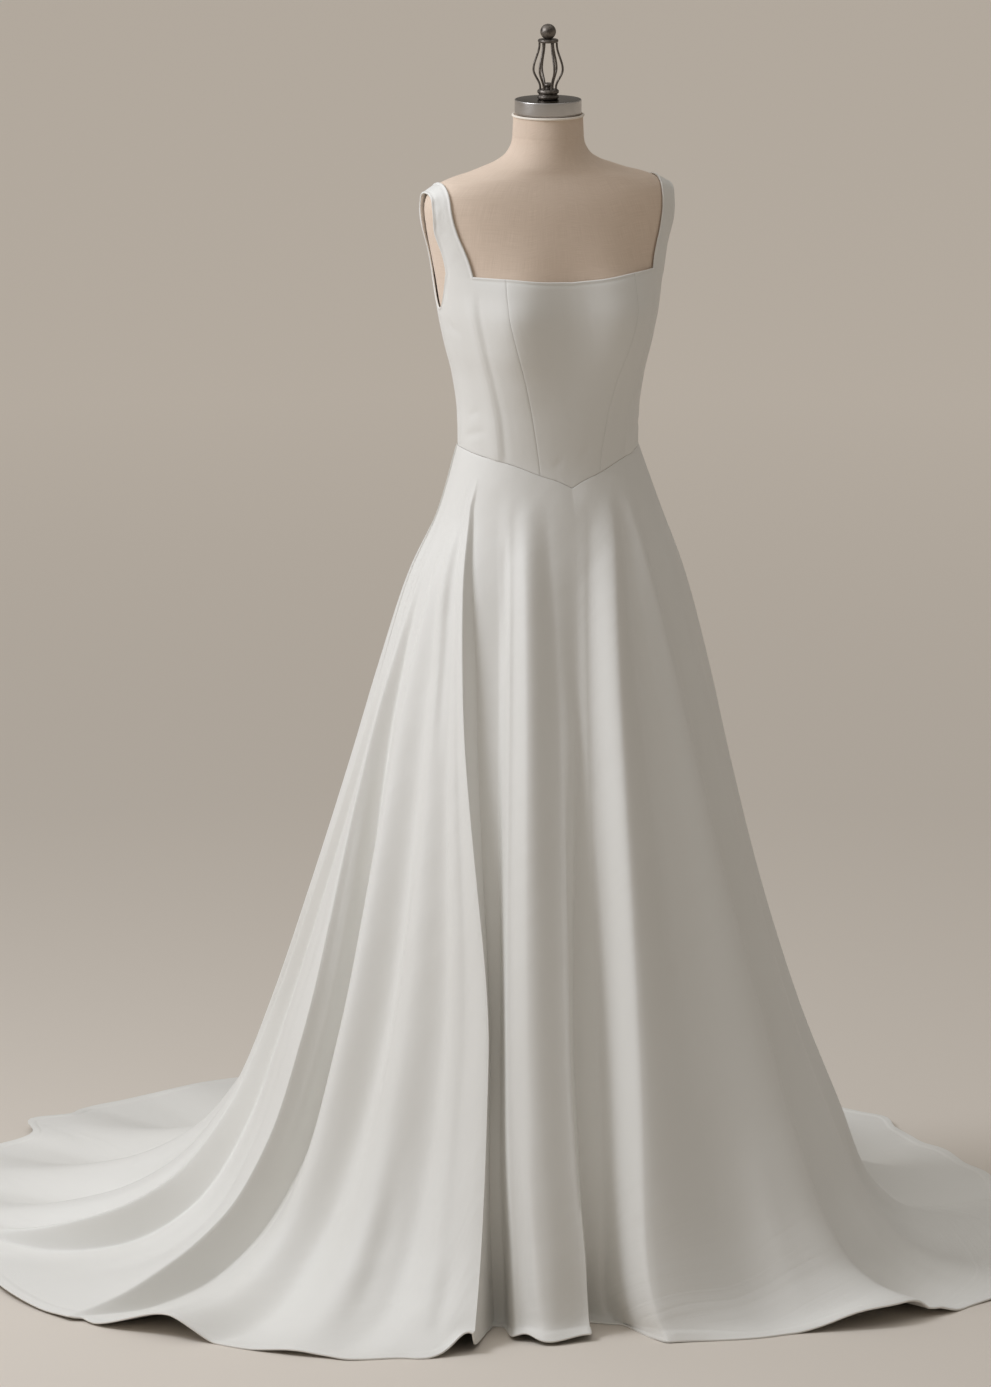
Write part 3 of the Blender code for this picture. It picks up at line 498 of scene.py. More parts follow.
def along(points, axis):
    """Distance run along each row or column of a grid."""
    steps = np.linalg.norm(np.diff(points, axis=axis), axis=-1)
    start = np.zeros_like(np.take(steps, [0], axis))
    return np.concatenate([start, np.cumsum(steps, axis)], axis)


def shell(name, outer, inner, material, keep=None):
    """A closed wall between two grids. keep says which cells the cloth covers."""
    rows, columns = outer.shape[:2]
    if keep is None:
        keep = np.ones((rows - 1, columns - 1), bool)
    corner = np.arange(rows * columns).reshape(rows, columns)
    cells = np.stack([corner[:-1, :-1], corner[:-1, 1:], corner[1:, 1:], corner[1:, :-1]], -1)
    back = rows * columns
    faces = [cells[keep], cells[keep][:, ::-1] + back]
    padded = np.pad(keep, 1)
    beside = (padded[:-2, 1:-1], padded[1:-1, 2:], padded[2:, 1:-1], padded[1:-1, :-2])
    for k, neighbour in enumerate(beside):
        rim = cells[keep & ~neighbour]
        p, q = rim[:, k], rim[:, (k + 1) % 4]
        faces.append(np.stack([p, p + back, q + back, q], -1))
    faces = np.concatenate(faces)
    verts = np.concatenate([outer.reshape(-1, 3), inner.reshape(-1, 3)])
    diagonals = np.cross(outer[1:, 1:] - outer[:-1, :-1], outer[1:, :-1] - outer[:-1, 1:])
    if np.sum((diagonals * (outer - inner)[:-1, :-1])[keep]) < 0:
        faces = faces[:, ::-1]
    uv = np.stack([along(outer, 1), along(outer, 0)], -1).reshape(-1, 2)
    uv = np.concatenate([uv, uv])
    used = np.unique(faces)
    place = np.zeros(len(verts), int)
    place[used] = np.arange(len(used))
    return add_mesh(name, verts[used], place[faces], material, uv[used])


WAIST_AZIMUTHS = np.arange(-180, 181)
WAIST_HEIGHTS = glide(WAIST_SEAM[:, 0], WAIST_SEAM[:, 1], np.abs(WAIST_AZIMUTHS))
WAIST_RADII = torso_radius(WAIST_AZIMUTHS, WAIST_HEIGHTS)


def skirt_base(azimuth, level):
    """Radius and height of the skirt without its folds, for an array of azimuths."""
    turn = np.radians(azimuth)
    side = np.sin(turn) ** 2
    right = side * (np.sin(turn) > 0)
    front = np.maximum(np.cos(turn), 0) ** 2
    back = np.maximum(-np.cos(turn), 0) ** 2
    rows = Section(*SKIRT.T)
    radii = np.outer(rows.front, front) + np.outer(rows.left, side - right)
    radii += np.outer(rows.right, right) + np.outer(rows.back, back)
    heights = np.outer(rows.front_z, front) + np.outer(rows.side_z, side)
    heights += np.outer(rows.back_z, back)
    wrapped = (azimuth + 180) % 360 - 180
    waist_radius = np.interp(wrapped, WAIST_AZIMUTHS, WAIST_RADII)
    waist_height = np.interp(wrapped, WAIST_AZIMUTHS, WAIST_HEIGHTS)
    stations = np.arange(HEM_LEVEL + 1)
    radius = glide(stations, np.vstack([waist_radius, radii]), level)
    height = glide(stations, np.vstack([waist_height, heights]), level)
    return radius, height, radii[-1]


def skirt_outer(level, places):
    """Outer face of the skirt at one level. A place counts along the rows of FOLDS."""
    folds = np.vstack([FOLDS, FOLDS[0]])
    folds[-1, :5] += 360
    azimuths = glide(AZIMUTH_LEVELS, folds[:, :5].T, level)
    flat = np.zeros(len(folds))
    depths = glide(DEPTH_LEVELS, np.vstack([flat, folds[:, 5:10].T / 1000]), level)
    row = np.minimum(places.astype(int), len(folds) - 2)
    share = places - row
    azimuth = azimuths[row] + (azimuths[row + 1] - azimuths[row]) * share
    depth = depths[row] + (depths[row + 1] - depths[row]) * ease(share)
    reach = folds[row, 10] + (folds[row + 1, 10] - folds[row, 10]) * ease(share)
    step = 0.05
    radius, height, hem_radius = skirt_base(azimuth, level)
    above = skirt_base(azimuth, max(level - step, 0))
    below = skirt_base(azimuth, min(level + step, HEM_LEVEL))
    run = below[0] - above[0]
    drop = above[1] - below[1]
    length = np.hypot(run, drop)
    lying = ease(np.clip((level - REACH_STARTS) / (HEM_LEVEL - REACH_STARTS), 0, 1))
    radius = radius + lying * (reach - hem_radius) + depth * drop / length
    height = height + depth * run / length
    height = np.maximum(height, WALL * run / length)
    return polar(radius, azimuth, height)


def resample(grid, count):
    """Rows even along each column, but closer at the waist seam and at the hem."""
    run = along(grid, 0)
    result = np.empty((count + len(EDGE_STEPS) + len(HEM_STEPS), grid.shape[1], 3))
    for j in range(grid.shape[1]):
        length = run[-1, j]
        even = np.linspace(EDGE_STEPS[-1], length - HEM_STEPS[-1], count + 2)[1:-1]
        stops = np.concatenate([EDGE_STEPS, even, length - np.array(HEM_STEPS[::-1])])
        for axis in range(3):
            result[:, j, axis] = np.interp(stops, run[:, j], grid[:, j, axis])
    return result


def edge_places(first, last):
    """Places between two folds, with extra ones by each side seam."""
    even = np.linspace(first, last, (last - first) * FOLD_STEPS + 1)
    return np.unique(np.concatenate([even, first + SEAM_PLACES, last - SEAM_PLACES]))


def place_on(grid, places, wanted):
    """Distance across each row of a grid to the place wanted on it."""
    across = along(grid, 1)
    return across - np.array([np.interp(w, places, row) for w, row in zip(wanted, across)])[:, None]


def crease_height(grid, levels, places):
    """How far the creases stand out of a panel at each point."""
    height = np.zeros(grid.shape[:2])
    for line in CREASES:
        if not places[0] < min(line.start, line.end) < max(line.start, line.end) < places[-1]:
            continue
        share = np.clip((levels - line.top) / (line.low - line.top), 0, 1)
        offset = place_on(grid, places, line.start + (line.end - line.start) * share)
        size = line.height / 1000 * fade(share, 0, 0.35) * (1 - fade(share, 0.55, 1))
        height += size[:, None] * hump(offset, line.width / 1000)
    return height


def turn_hem(grid, levels, places):
    """Turn the hem up and draw it in where HEM_TURNS says."""
    low = fade(levels, TURN_STARTS, HEM_LEVEL)[:, None] ** 2
    outward = unit(grid * (1, 1, 0))
    for turn in HEM_TURNS:
        if places[0] < turn.place < places[-1]:
            offset = place_on(grid, places, np.full(len(levels), turn.place))
            size = (low * hump(offset, turn.width / 1000))[..., None]
            grid = grid - outward * size * turn.pull / 1000 + size * (0, 0, turn.rise / 1000)
    return grid


def skirt_grid(first, last):
    places = edge_places(first, last)
    levels = np.linspace(0, HEM_LEVEL, DENSE_LEVELS)
    dense = np.array([skirt_outer(level, places % len(FOLDS)) for level in levels])
    height = crease_height(dense, levels, places)
    dense = turn_hem(dense + grid_normals(dense) * height[..., None], levels, places)
    dense[..., 2] = np.maximum(dense[..., 2], WALL * levels[:, None] / HEM_LEVEL)
    return resample(dense, SKIRT_ROWS)


def finish_cloth(outer, normals, seam, free):
    """Faces of a cloth wall, dipped at its seams and rounded at its free edges.

    seam and free are each point's distances to the nearest seam and the nearest free edge.
    """
    dip = SEAM_DIP * hump(seam, SEAM_DIP_WIDTH)
    roll = EDGE_ROLL * (1 - np.sqrt(1 - (1 - np.clip(free / EDGE_ROLL, 0, 1)) ** 2))
    face = outer - normals * (dip + roll)[..., None]
    back = outer - normals * (WALL - roll)[..., None]
    return face, back


def pull_in(grid):
    """Draw the first and last columns in by half a seam's gap."""
    for edge, inside in ((0, 1), (-1, -2)):
        grid[:, edge] += unit(grid[:, inside] - grid[:, edge]) * SEAM / 2
    return grid


def build_skirt_panel(node, first, last, material):
    grid = skirt_grid(first, last)
    grid[0, :, 2] -= SEAM / 2
    grid = pull_in(grid)
    down = along(grid, 0)
    across = along(grid, 1)
    hem = down[-1] - down
    seam = np.minimum(np.minimum(across, across[:, -1:] - across), down)
    proud = HEM_PROUD * (1 - fade(hem, HEM_DEPTH - HEM_STEP, HEM_DEPTH + HEM_STEP))
    normals = grid_normals(grid)
    face, back = finish_cloth(grid, normals, seam, hem)
    face += normals * proud[..., None]
    back[..., 2] = np.maximum(back[..., 2], HEM_CLEAR)
    face[..., 2] = np.maximum(face[..., 2], back[..., 2] + HEM_THIN)
    dress(shell(node + "_cloth", face, back, material), node)


def dress(piece, node):
    """Put a cloth piece in its solid's place."""
    stand_for(piece, node)


def stand_for(piece, node):
    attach(piece, "root")
    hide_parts(node)


def seam_line(name, side=1):
    column = Lines._fields.index(name)
    return lambda height: side * glide(BODICE_LINES[:, 0], BODICE_LINES[:, column], height)


def armhole(azimuth, side, edge):
    share = np.abs(azimuth - side) / abs(edge - side)
    return UNDERARM + (STRAP_BASE - UNDERARM) * share**2


def front_top(azimuth):
    """Height of the bodice's top edge in front of the side seam."""
    top = Lines(*BODICE_LINES[-1])
    azimuth = np.abs(azimuth)
    neck = glide(NECKLINE[:, 0], NECKLINE[:, 1], azimuth)
    under = armhole(azimuth, top.side, top.strap_outer)
    strap = np.where(azimuth <= top.strap_outer, STRAP_BASE, under)
    return np.where(azimuth <= top.strap_inner, neck, strap)


def back_top(azimuth):
    top = Lines(*BODICE_LINES[-1])
    azimuth = np.abs(azimuth)
    dip = ease(np.clip((azimuth - top.back_inner) / (180 - top.back_inner), 0, 1))
    under = armhole(azimuth, top.side, top.back_outer)
    return np.where(azimuth >= top.back_outer, STRAP_BASE - BACK_NECKLINE_DIP * dip, under)


def bodice_grid(lines, columns, shares, top, side):
    """Points between bodice lines, from the waist seam up to a top edge."""
    k = np.minimum(columns.astype(int), len(lines) - 2)
    each = np.arange(len(columns))

    def azimuth_at(height):
        table = np.stack([line(height) for line in lines])
        start = table[k, :, each].T
        return start + (table[k + 1, :, each].T - start) * (columns - k)

    high = top(azimuth_at(np.full((1, len(columns)), STRAP_BASE)))
    height = np.full((len(shares), len(columns)), UNDERARM)
    for _ in range(TOP_ROUNDS):
        low = glide(WAIST_SEAM[:, 0], WAIST_SEAM[:, 1], np.abs(azimuth_at(height)))
        height = low + (high - low) * shares[:, None]
    return torso_point(side * azimuth_at(height), height)


def ray_reach(x, angle):
    """Distance from the strap's centre to the torso, along a ray at a given x."""
    near = np.zeros(np.broadcast(x, angle).shape)
    far = near + RAY_LIMIT
    for _ in range(RAY_HALVINGS):
        middle = (near + far) / 2
        y = -middle * np.cos(angle)
        z = np.minimum(STRAP_CENTRE + middle * np.sin(angle), TORSO[-1, 0])
        inside = np.hypot(x, y) < torso_radius(np.degrees(np.arctan2(x, -y)), z)
        near = np.where(inside, middle, near)
        far = np.where(inside, far, middle)
    return near


def shoulder_reach(x, angle):
    """The torso's reach, carried on straight past the end of the shoulder."""
    held = np.minimum(x, SHOULDER_EDGE)
    edge = ray_reach(held, angle)
    slope = (ray_reach(held - SHOULDER_PROBE, angle) - edge) / SHOULDER_PROBE
    return edge - slope * (x - held)


def strap_grid(feet, shares, ways):
    """Rows of a strap above its feet on the panel. A share runs from the inner edge outwards."""
    start = np.arctan2(feet[:, 2] - STRAP_CENTRE, -feet[:, 1])
    start = np.where((feet[:, 1] > 0) & (start < 0), start + 2 * np.pi, start)
    way = ways[:, None]
    angle = start + (np.pi / 2 - start) * way
    inner, outer = glide(STRAP[:, 0], STRAP[:, 1:], ways).T
    x = inner[:, None] + (outer - inner)[:, None] * shares
    x += (feet[:, 0] - STRAP[0, 1] - (STRAP[0, 2] - STRAP[0, 1]) * shares) * (1 - ease(way))
    reach = shoulder_reach(x, angle) - (FORM_GAP - SHOULDER_GAP) * ease(way)
    return np.stack([x, -reach * np.cos(angle), STRAP_CENTRE + reach * np.sin(angle)], -1)


def near_edges(count, length, ends=(True, True)):
    """Even shares from 0 to 1, with extra ones close to one or both ends."""
    shares = [np.linspace(0, 1, count + 1)]
    if ends[0]:
        shares.append(np.array(EDGE_STEPS) / length)
    if ends[1]:
        shares.append(1 - np.array(EDGE_STEPS) / length)
    return np.unique(np.round(np.concatenate(shares), 6))


def distances(points, edge):
    """Distance from each point of a grid to the nearest of some edge points."""
    tree = kdtree.KDTree(len(edge))
    for i, point in enumerate(edge):
        tree.insert(point, i)
    tree.balance()
    found = [tree.find(point)[2] for point in points.reshape(-1, 3)]
    return np.array(found).reshape(points.shape[:-1])


def bodice_relief(grid):
    """How far the darts and the drag creases move the bodice's surface."""
    azimuth = np.degrees(np.arctan2(grid[..., 0], -grid[..., 1]))
    height = grid[..., 2]
    degree = math.radians(1) * np.hypot(grid[..., 0], grid[..., 1])
    aside = (np.abs(azimuth) - glide(DART[:, 0], DART[:, 1], height)) * degree
    sewn = fade(height, *DART_STARTS) * (1 - fade(height, *DART_ENDS))
    full = DART_FULLNESS * hump(aside - DART_SPREAD, DART_SPREAD)
    relief = sewn * (full - DART_DEPTH * hump(aside, DART_WIDTH))
    for drag in DRAGS:
        run = np.stack([(drag.to_azimuth - drag.azimuth) * degree,
                        np.full(height.shape, drag.to_height - drag.height)], -1)
        here = np.stack([(azimuth - drag.azimuth) * degree, height - drag.height], -1)
        length = np.linalg.norm(run, axis=-1)
        share = np.sum(run * here, -1) / length**2
        aside = (run[..., 0] * here[..., 1] - run[..., 1] * here[..., 0]) / length
        ends = fade(share, 0, 0.4) * (1 - fade(share, 0.5, 1))
        relief -= drag.depth / 1000 * ends * hump(aside, drag.width / 1000)
    return relief * (1 - fade(height, STRAP_BASE - 0.02, STRAP_BASE))


def sew(node, grid, normals, keep, seams, edges, material):
    """Make a bodice piece from its outer points, its seams and its free edges."""
    grid = grid + normals * bodice_relief(grid)[..., None]
    seam = distances(grid, np.concatenate(seams))
    free = distances(grid, np.concatenate(edges))
    run = grid[..., 2] + grid[..., 0]
    pucker = PUCKER * np.sin(2 * np.pi * run / PUCKER_LENGTH) * np.exp(-seam / PUCKER_REACH)
    bead = EDGE_BEAD * hump(free - EDGE_BEAD_AT, EDGE_BEAD_WIDTH)
    groove = UNDERSTITCH * hump(free - UNDERSTITCH_AT, EDGE_BEAD_WIDTH)
    face, back = finish_cloth(grid, normals, seam, free)
    face += normals * (pucker * fade(seam, 0, 0.002) + bead - groove)[..., None]
    dress(shell(node + "_cloth", face, back, material, keep), node)


def section_columns(count, sections, length):
    shares = near_edges(count, length)
    return np.unique(np.concatenate([shares + k for k in range(sections)]))


def build_strap_panel(node, names, top, side, in_front, material):
    """A side panel of the bodice with its shoulder strap cut in one."""
    columns = section_columns(SECTION_COLUMNS, len(names) - 1, SECTION_WIDTH)
    shares = near_edges(BODICE_ROWS, BODICE_HEIGHT)
    lines = [seam_line(name) for name in names]
    body = bodice_grid(lines, columns, shares, top, 1)
    strap = (columns >= 1) & (columns <= 2)
    ways = near_edges(STRAP_ROWS, STRAP_LENGTH, (False, True))[1:]
    across = columns[strap] - 1
    rows = strap_grid(body[-1, strap], across if in_front else 1 - across, ways)
    band = np.concatenate([body[:, strap], rows])
    grid = np.concatenate([body, np.repeat(body[-1:], len(ways), 0)])
    grid[len(body):, strap] = rows
    normals = grid_normals(body)
    normals = np.concatenate([normals, np.repeat(normals[-1:], len(ways), 0)])
    blend = fade(np.arange(len(grid)), len(body) - STRAP_BLEND_ROWS, len(body) + 2)[:, None, None]
    over = grid_normals(band, (STRAP_ACROSS, 0, STRAP_CENTRE))
    normals[:, strap] = unit(normals[:, strap] * (1 - blend) + over * blend)
    keep = np.ones((len(grid) - 1, len(columns) - 1), bool)
    keep[len(body) - 1:] = strap[:-1] & strap[1:]
    grid[0, :, 2] += SEAM / 2
    grid[-1, :, 1] += SEAM / 2 * (-1 if in_front else 1)
    grid[:len(body)] = pull_in(grid[:len(body)])
    seams = [body[0], body[:, 0], body[:, -1], rows[-1]]
    edges = [body[-1, columns <= 1], body[-1, columns >= 2], rows[:, 0], rows[:, -1]]
    mirror = np.array((side, 1, 1))
    grid, normals = grid * mirror, normals * mirror
    sew(node, grid, normals, keep, [e * mirror for e in seams], [e * mirror for e in edges],
        material)


def build_plain_panel(node, lines, sections, top, side, material):
    columns = section_columns(SECTION_COLUMNS * 2, sections, SECTION_WIDTH * 2)
    shares = near_edges(BODICE_ROWS, BODICE_HEIGHT)
    grid = bodice_grid(lines, columns, shares, top, side)
    normals = grid_normals(grid)
    seams = [grid[0].copy(), grid[:, 0].copy(), grid[:, -1].copy()]
    edges = [grid[-1].copy()]
    grid[0, :, 2] += SEAM / 2
    sew(node, pull_in(grid), normals, None, seams, edges, material)


def build_bodice(material):
    """Seven panels: centre front, side fronts and side backs with straps, centre backs."""
    front = ("princess", "strap_inner", "strap_outer", "side")
    back = ("side", "back_outer", "back_inner", "back_princess")
    centre_back = (seam_line("back_princess"), seam_line("centre"))
    for side, hand in ((-1, "right"), (1, "left")):
        build_strap_panel("bodice_side_front_" + hand, front, front_top, side, True,
                          material)
        build_strap_panel("bodice_side_back_" + hand, back, back_top, side, False,
                          material)
        build_plain_panel("bodice_centre_back_" + hand, centre_back, 1, back_top, side,
                          material)
    across = (seam_line("princess", -1), lambda height: 0 * height, seam_line("princess"))
    build_plain_panel("bodice_centre_front", across, 2, front_top, 1, material)


def lofted(name, rings, material):
    """A closed body through rings of points, with flat ends."""
    rings = np.array(rings)
    count, sides = rings.shape[:2]
    corner = np.arange(count * sides).reshape(count, sides)
    after = np.roll(corner, -1, 1)
    cells = np.stack([corner[:-1], after[:-1], after[1:], corner[1:]], -1).reshape(-1, 4)
    faces = cells.tolist() + [corner[0, ::-1].tolist(), corner[-1].tolist()]
    turn = np.linspace(0, 1, sides)[None, :].repeat(count, 0)
    uv = np.stack([turn * np.max(along(rings, 1)[:, -1]), along(rings, 0)], -1).reshape(-1, 2)
    return add_mesh(name, rings.reshape(-1, 3), faces, material, uv)


def turned(name, profile, material, sides):
    """A closed turned body. The profile's rows are radius and height, bottom to top."""
    azimuths = np.arange(sides) * 360 / sides
    return lofted(name, [polar(radius, azimuths, height) for radius, height in profile], material)


def rounded(profile, radius):
    """A profile of radii and heights with its inner corners turned as short arcs."""
    points = [Vector(p) for p in profile]
    result = [tuple(points[0])]
    for before, corner, after in zip(points, points[1:], points[2:]):
        back, on = before - corner, after - corner
        cut = min(radius, back.length / 2, on.length / 2)
        start, end = corner + back.normalized() * cut, corner + on.normalized() * cut
        for k in range(ARC_STEPS + 1):
            t = k / ARC_STEPS
            result.append(tuple(start * (1 - t) ** 2 + corner * 2 * t * (1 - t) + end * t**2))
    return result + [tuple(points[-1])]


def build_form(material):
    """Linen torso and neck, a constant step inside the fitted cloth."""
    inset = WALL + FORM_GAP
    azimuths = np.arange(FORM_SIDES) * 360 / FORM_SIDES - 180
    rings = []
    low = FORM_BOTTOM + FORM_BOTTOM_ROUND
    for angle in np.linspace(0, 90, 9):
        turn = math.radians(angle)
        tuck = FORM_BOTTOM_ROUND * (1 - math.sin(turn))
        ring = torso_inside(azimuths, np.full(FORM_SIDES, low), inset + tuck)
        ring[:, 2] = FORM_BOTTOM + FORM_BOTTOM_ROUND * (1 - math.cos(turn))
        rings.append(ring)
    body = np.linspace(low, FORM_SHOULDER, 110)[1:]
    neck = np.linspace(FORM_SHOULDER, NECK_TOP - 0.001, 70)[1:]
    for height in np.concatenate([body, neck]):
        groove = NECK_SEAM_DIP * hump(height - NECK_SEAM, NECK_SEAM_WIDTH)
        rings.append(torso_inside(azimuths, np.full(FORM_SIDES, height), inset + groove))
    stand_for(lofted("form_torso_linen", rings, material), "form_torso")


def build_rim(material):
    """A round cord laid in a ring round the top of the neck."""
    azimuths = np.arange(CORD_SIDES) * 360 / CORD_SIDES
    rings = []
    for turn in np.arange(CORD_ROUND) * 2 * math.pi / CORD_ROUND:
        reach = NECK_TOP_RADIUS + NECK_RIM_RADIUS * math.cos(turn)
        height = NECK_TOP - NECK_RIM_RADIUS + NECK_RIM_RADIUS * math.sin(turn)
        rings.append(polar(reach, azimuths, height))
    corner = np.arange(CORD_ROUND * CORD_SIDES).reshape(CORD_ROUND, CORD_SIDES)
    right, up = np.roll(corner, -1, 1), np.roll(corner, -1, 0)
    faces = np.stack([corner, right, np.roll(right, -1, 0), up], -1).reshape(-1, 4)
    piece = add_mesh("form_neck_rim", np.concatenate(rings), faces, material)
    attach(piece, "root")


def build_cap(material):
    low = NECK_TOP + SEAM
    high = low + CAP_HEIGHT
    lip = CAP_RADIUS - 0.0008
    profile = ((0.030, low), (lip, low), (lip, low + 0.0012), (CAP_RADIUS, low + 0.0018),
               (CAP_RADIUS, high), (0.020, high), (0.002, high))
    cap = turned("neck_cap_brushed", rounded(profile, 0.0011), material, 160)
    # The top faces get a copy of the steel painted dark, as a painted reflection of dark
    # surroundings.
    cap.data.materials.append(painted_reflection_steel())
    for face in cap.data.polygons:
        if face.normal.z > 0.9 and face.center.xy.length < CAP_RADIUS - 0.002:
            face.material_index = 1
    stand_for(cap, "neck_cap")
    return high + SEAM


def build_wire(k, low, material):
    """A bowed wire of the finial's cage."""
    name = "finial_wire_" + str(k + 1)
    turn = math.radians(WIRE_START + 360 * k / WIRE_COUNT)
    shares = np.linspace(0, 1, 29)
    radii = glide((0, 0.04, 0.42, 0.96, 1), (WIRE_FOOT_RADIUS, WIRE_FOOT_RADIUS, WIRE_BULGE_RADIUS,
                                             WIRE_HEAD_RADIUS, WIRE_HEAD_RADIUS), shares)
    curve = bpy.data.curves.new(name + "_bent", "CURVE")
    curve.dimensions = "3D"
    curve.bevel_depth = WIRE_RADIUS
    curve.bevel_resolution = 3
    curve.use_fill_caps = True
    line = curve.splines.new("POLY")
    line.points.add(len(shares) - 1)
    for point, share, radius in zip(line.points, shares, radii):
        point.co = (radius * math.sin(turn), -radius * math.cos(turn), low + CAGE_HEIGHT * share, 1)
    curve.materials.append(material)
    stand_for(add_object(name + "_bent", curve), name)


def spin(name, finish, profile, material, sides):
    """A turned solid that stands for a piece."""
    stand_for(turned(f"{name}_{finish}", profile, material, sides), name)


def build_finial(low, material):
    edge = COLLAR_RADIUS - 0.0015
    groove = COLLAR_RADIUS - 0.0022
    heights = (0, 0.0018, 0.0046, 0.0058, 0.0070, 0.0084, 0.0112, 0.0130)
    radii = (edge, COLLAR_RADIUS, COLLAR_RADIUS, groove, groove, COLLAR_RADIUS, COLLAR_RADIUS, edge)
    profile = [(0.004, low)] + [(r, low + h) for r, h in zip(radii, heights)] + [(0.004, low + 0.013)]
    spin("finial_collar", "turned", rounded(profile, 0.0016), material, 64)
    cage = low + heights[-1] + SEAM
    knob = [(0.0035, cage), (0.0035, cage + 0.003), (0.006, cage + 0.0042), (0.006, cage + 0.007),
            (0.0035, cage + 0.0085), (0.0010, cage + 0.0087)]
    spin("finial_knob", "turned", rounded(knob, 0.0015), material, 48)
    for k in range(WIRE_COUNT):
        build_wire(k, cage, material)
    seat = cage + CAGE_HEIGHT + SEAM
    edge = RING_RADIUS - 0.0012
    ring = [(0.003, seat), (edge, seat), (RING_RADIUS, seat + 0.0012), (RING_RADIUS, seat + 0.0033),
            (edge, seat + RING_HEIGHT), (0.003, seat + RING_HEIGHT)]
    spin("finial_ring", "turned", rounded(ring, 0.0010), material, 64)
    first = BALL_SEAT_ANGLE
    centre = seat + RING_HEIGHT + SEAM + BALL_RADIUS * math.cos(math.radians(first))
    turns = np.radians(np.linspace(first, 179, 40))
    ball = [(BALL_RADIUS * math.sin(t), centre - BALL_RADIUS * math.cos(t)) for t in turns]
    spin("finial_ball", "turned", ball, material, 64)


def build_stand(material):
    profile = [(BASE_RADIUS - 0.002, 0), (BASE_RADIUS, 0.002), (BASE_RADIUS, BASE_HEIGHT - 0.003),
               (BASE_RADIUS - 0.003, BASE_HEIGHT), (0.05, BASE_HEIGHT)]
    spin("form_base", "painted", rounded(profile, 0.002), material, 128)
    low, high = BASE_HEIGHT + SEAM, FORM_BOTTOM - SEAM
    pole = [(POLE_RADIUS - 0.001, low), (POLE_RADIUS, low + 0.001), (POLE_RADIUS, high)]
    spin("form_pole", "painted", pole, material, 48)


class Nodes:
    """Short calls that add and wire the nodes of one material."""

    def __init__(self, name, colour, roughness, metallic=0.0):
        self.material = bpy.data.materials.new(name)
        self.material.use_nodes = True
        self.tree = self.material.node_tree
        self.shader = self.tree.nodes["Principled BSDF"]
        self.shader.inputs["Base Color"].default_value = (*colour, 1)
        self.shader.inputs["Roughness"].default_value = roughness
        self.shader.inputs["Metallic"].default_value = metallic

    def add(self, kind, settings=(), **values):
        """A node with its settings, and its inputs set to values or linked to sockets."""
        node = self.tree.nodes.new(kind)
        for name, value in dict(settings).items():
            setattr(node, name, value)
        for name, value in values.items():
            self.wire(node.inputs[name.replace("_", " ")], value)
        return node

    def wire(self, socket, value):
        if isinstance(value, bpy.types.NodeSocket):
            self.tree.links.new(value, socket)
        else:
            socket.default_value = value

    def place(self, output="UV", scale=(1, 1, 1)):
        """Texture coordinates, stretched by a scale for each axis."""
        source = self.add("ShaderNodeTexCoord").outputs[output]
        return self.add("ShaderNodeMapping", Vector=source, Scale=scale).outputs[0]

    def noise(self, place, scale, detail=2.0):
        return self.add("ShaderNodeTexNoise", Vector=place, Scale=scale, Detail=detail).outputs["Fac"]

    def speckle(self, scale, detail=2.0):
        """Noise in the object's own space."""
        return self.noise(self.place("Object"), scale, detail)

    def threads(self, place, pitch, axis):
        """Rounded threads across one axis of the cloth."""
        settings = {"bands_direction": axis, "wave_profile": "SIN"}
        scale = math.pi / (10 * pitch)
        wave = self.add("ShaderNodeTexWave", settings, Vector=place, Scale=scale,
                        Distortion=0.6, Detail=1.0, Detail_Scale=0.4)
        return wave.outputs["Fac"]

    def math(self, operation, first, second):
        node = self.add("ShaderNodeMath", {"operation": operation})
        for socket, value in zip(node.inputs, (first, second)):
            self.wire(socket, value)
        return node.outputs[0]

    def roughen(self, noise, low, high):
        """Roughness that follows the middle of a noise."""
        node = self.add("ShaderNodeMapRange", Value=noise, From_Min=NOISE_LOW, From_Max=NOISE_HIGH,
                        To_Min=low, To_Max=high)
        self.feed("Roughness", node.outputs[0])

    def paint(self, noise, low, high):
        """A colour between two that follows the middle of a noise."""
        ramp = self.add("ShaderNodeValToRGB", Fac=noise)
        stops = zip(ramp.color_ramp.elements, (low, high), (NOISE_LOW, NOISE_HIGH))
        for stop, colour, position in stops:
            stop.color = (*colour, 1)
            stop.position = position
        self.feed("Base Color", ramp.outputs["Color"])

    def feed(self, name, socket):
        self.tree.links.new(socket, self.shader.inputs[name])

    def bump(self, layers):
        """Stack bumps. Each layer has a height value and its real depth in metres."""
        normal = None
        for height, depth in layers:
            node = self.add("ShaderNodeBump", Height=height, Strength=1.0, Distance=depth)
            if normal is not None:
                self.tree.links.new(normal, node.inputs["Normal"])
            normal = node.outputs["Normal"]
        self.feed("Normal", normal)


def weave(nodes, place, pitch):
    """Height of a plain weave, from threads that cross."""
    warp = nodes.threads(place, pitch, "X")
    weft = nodes.threads(place, pitch, "Y")
    return nodes.math("MAXIMUM", warp, weft)


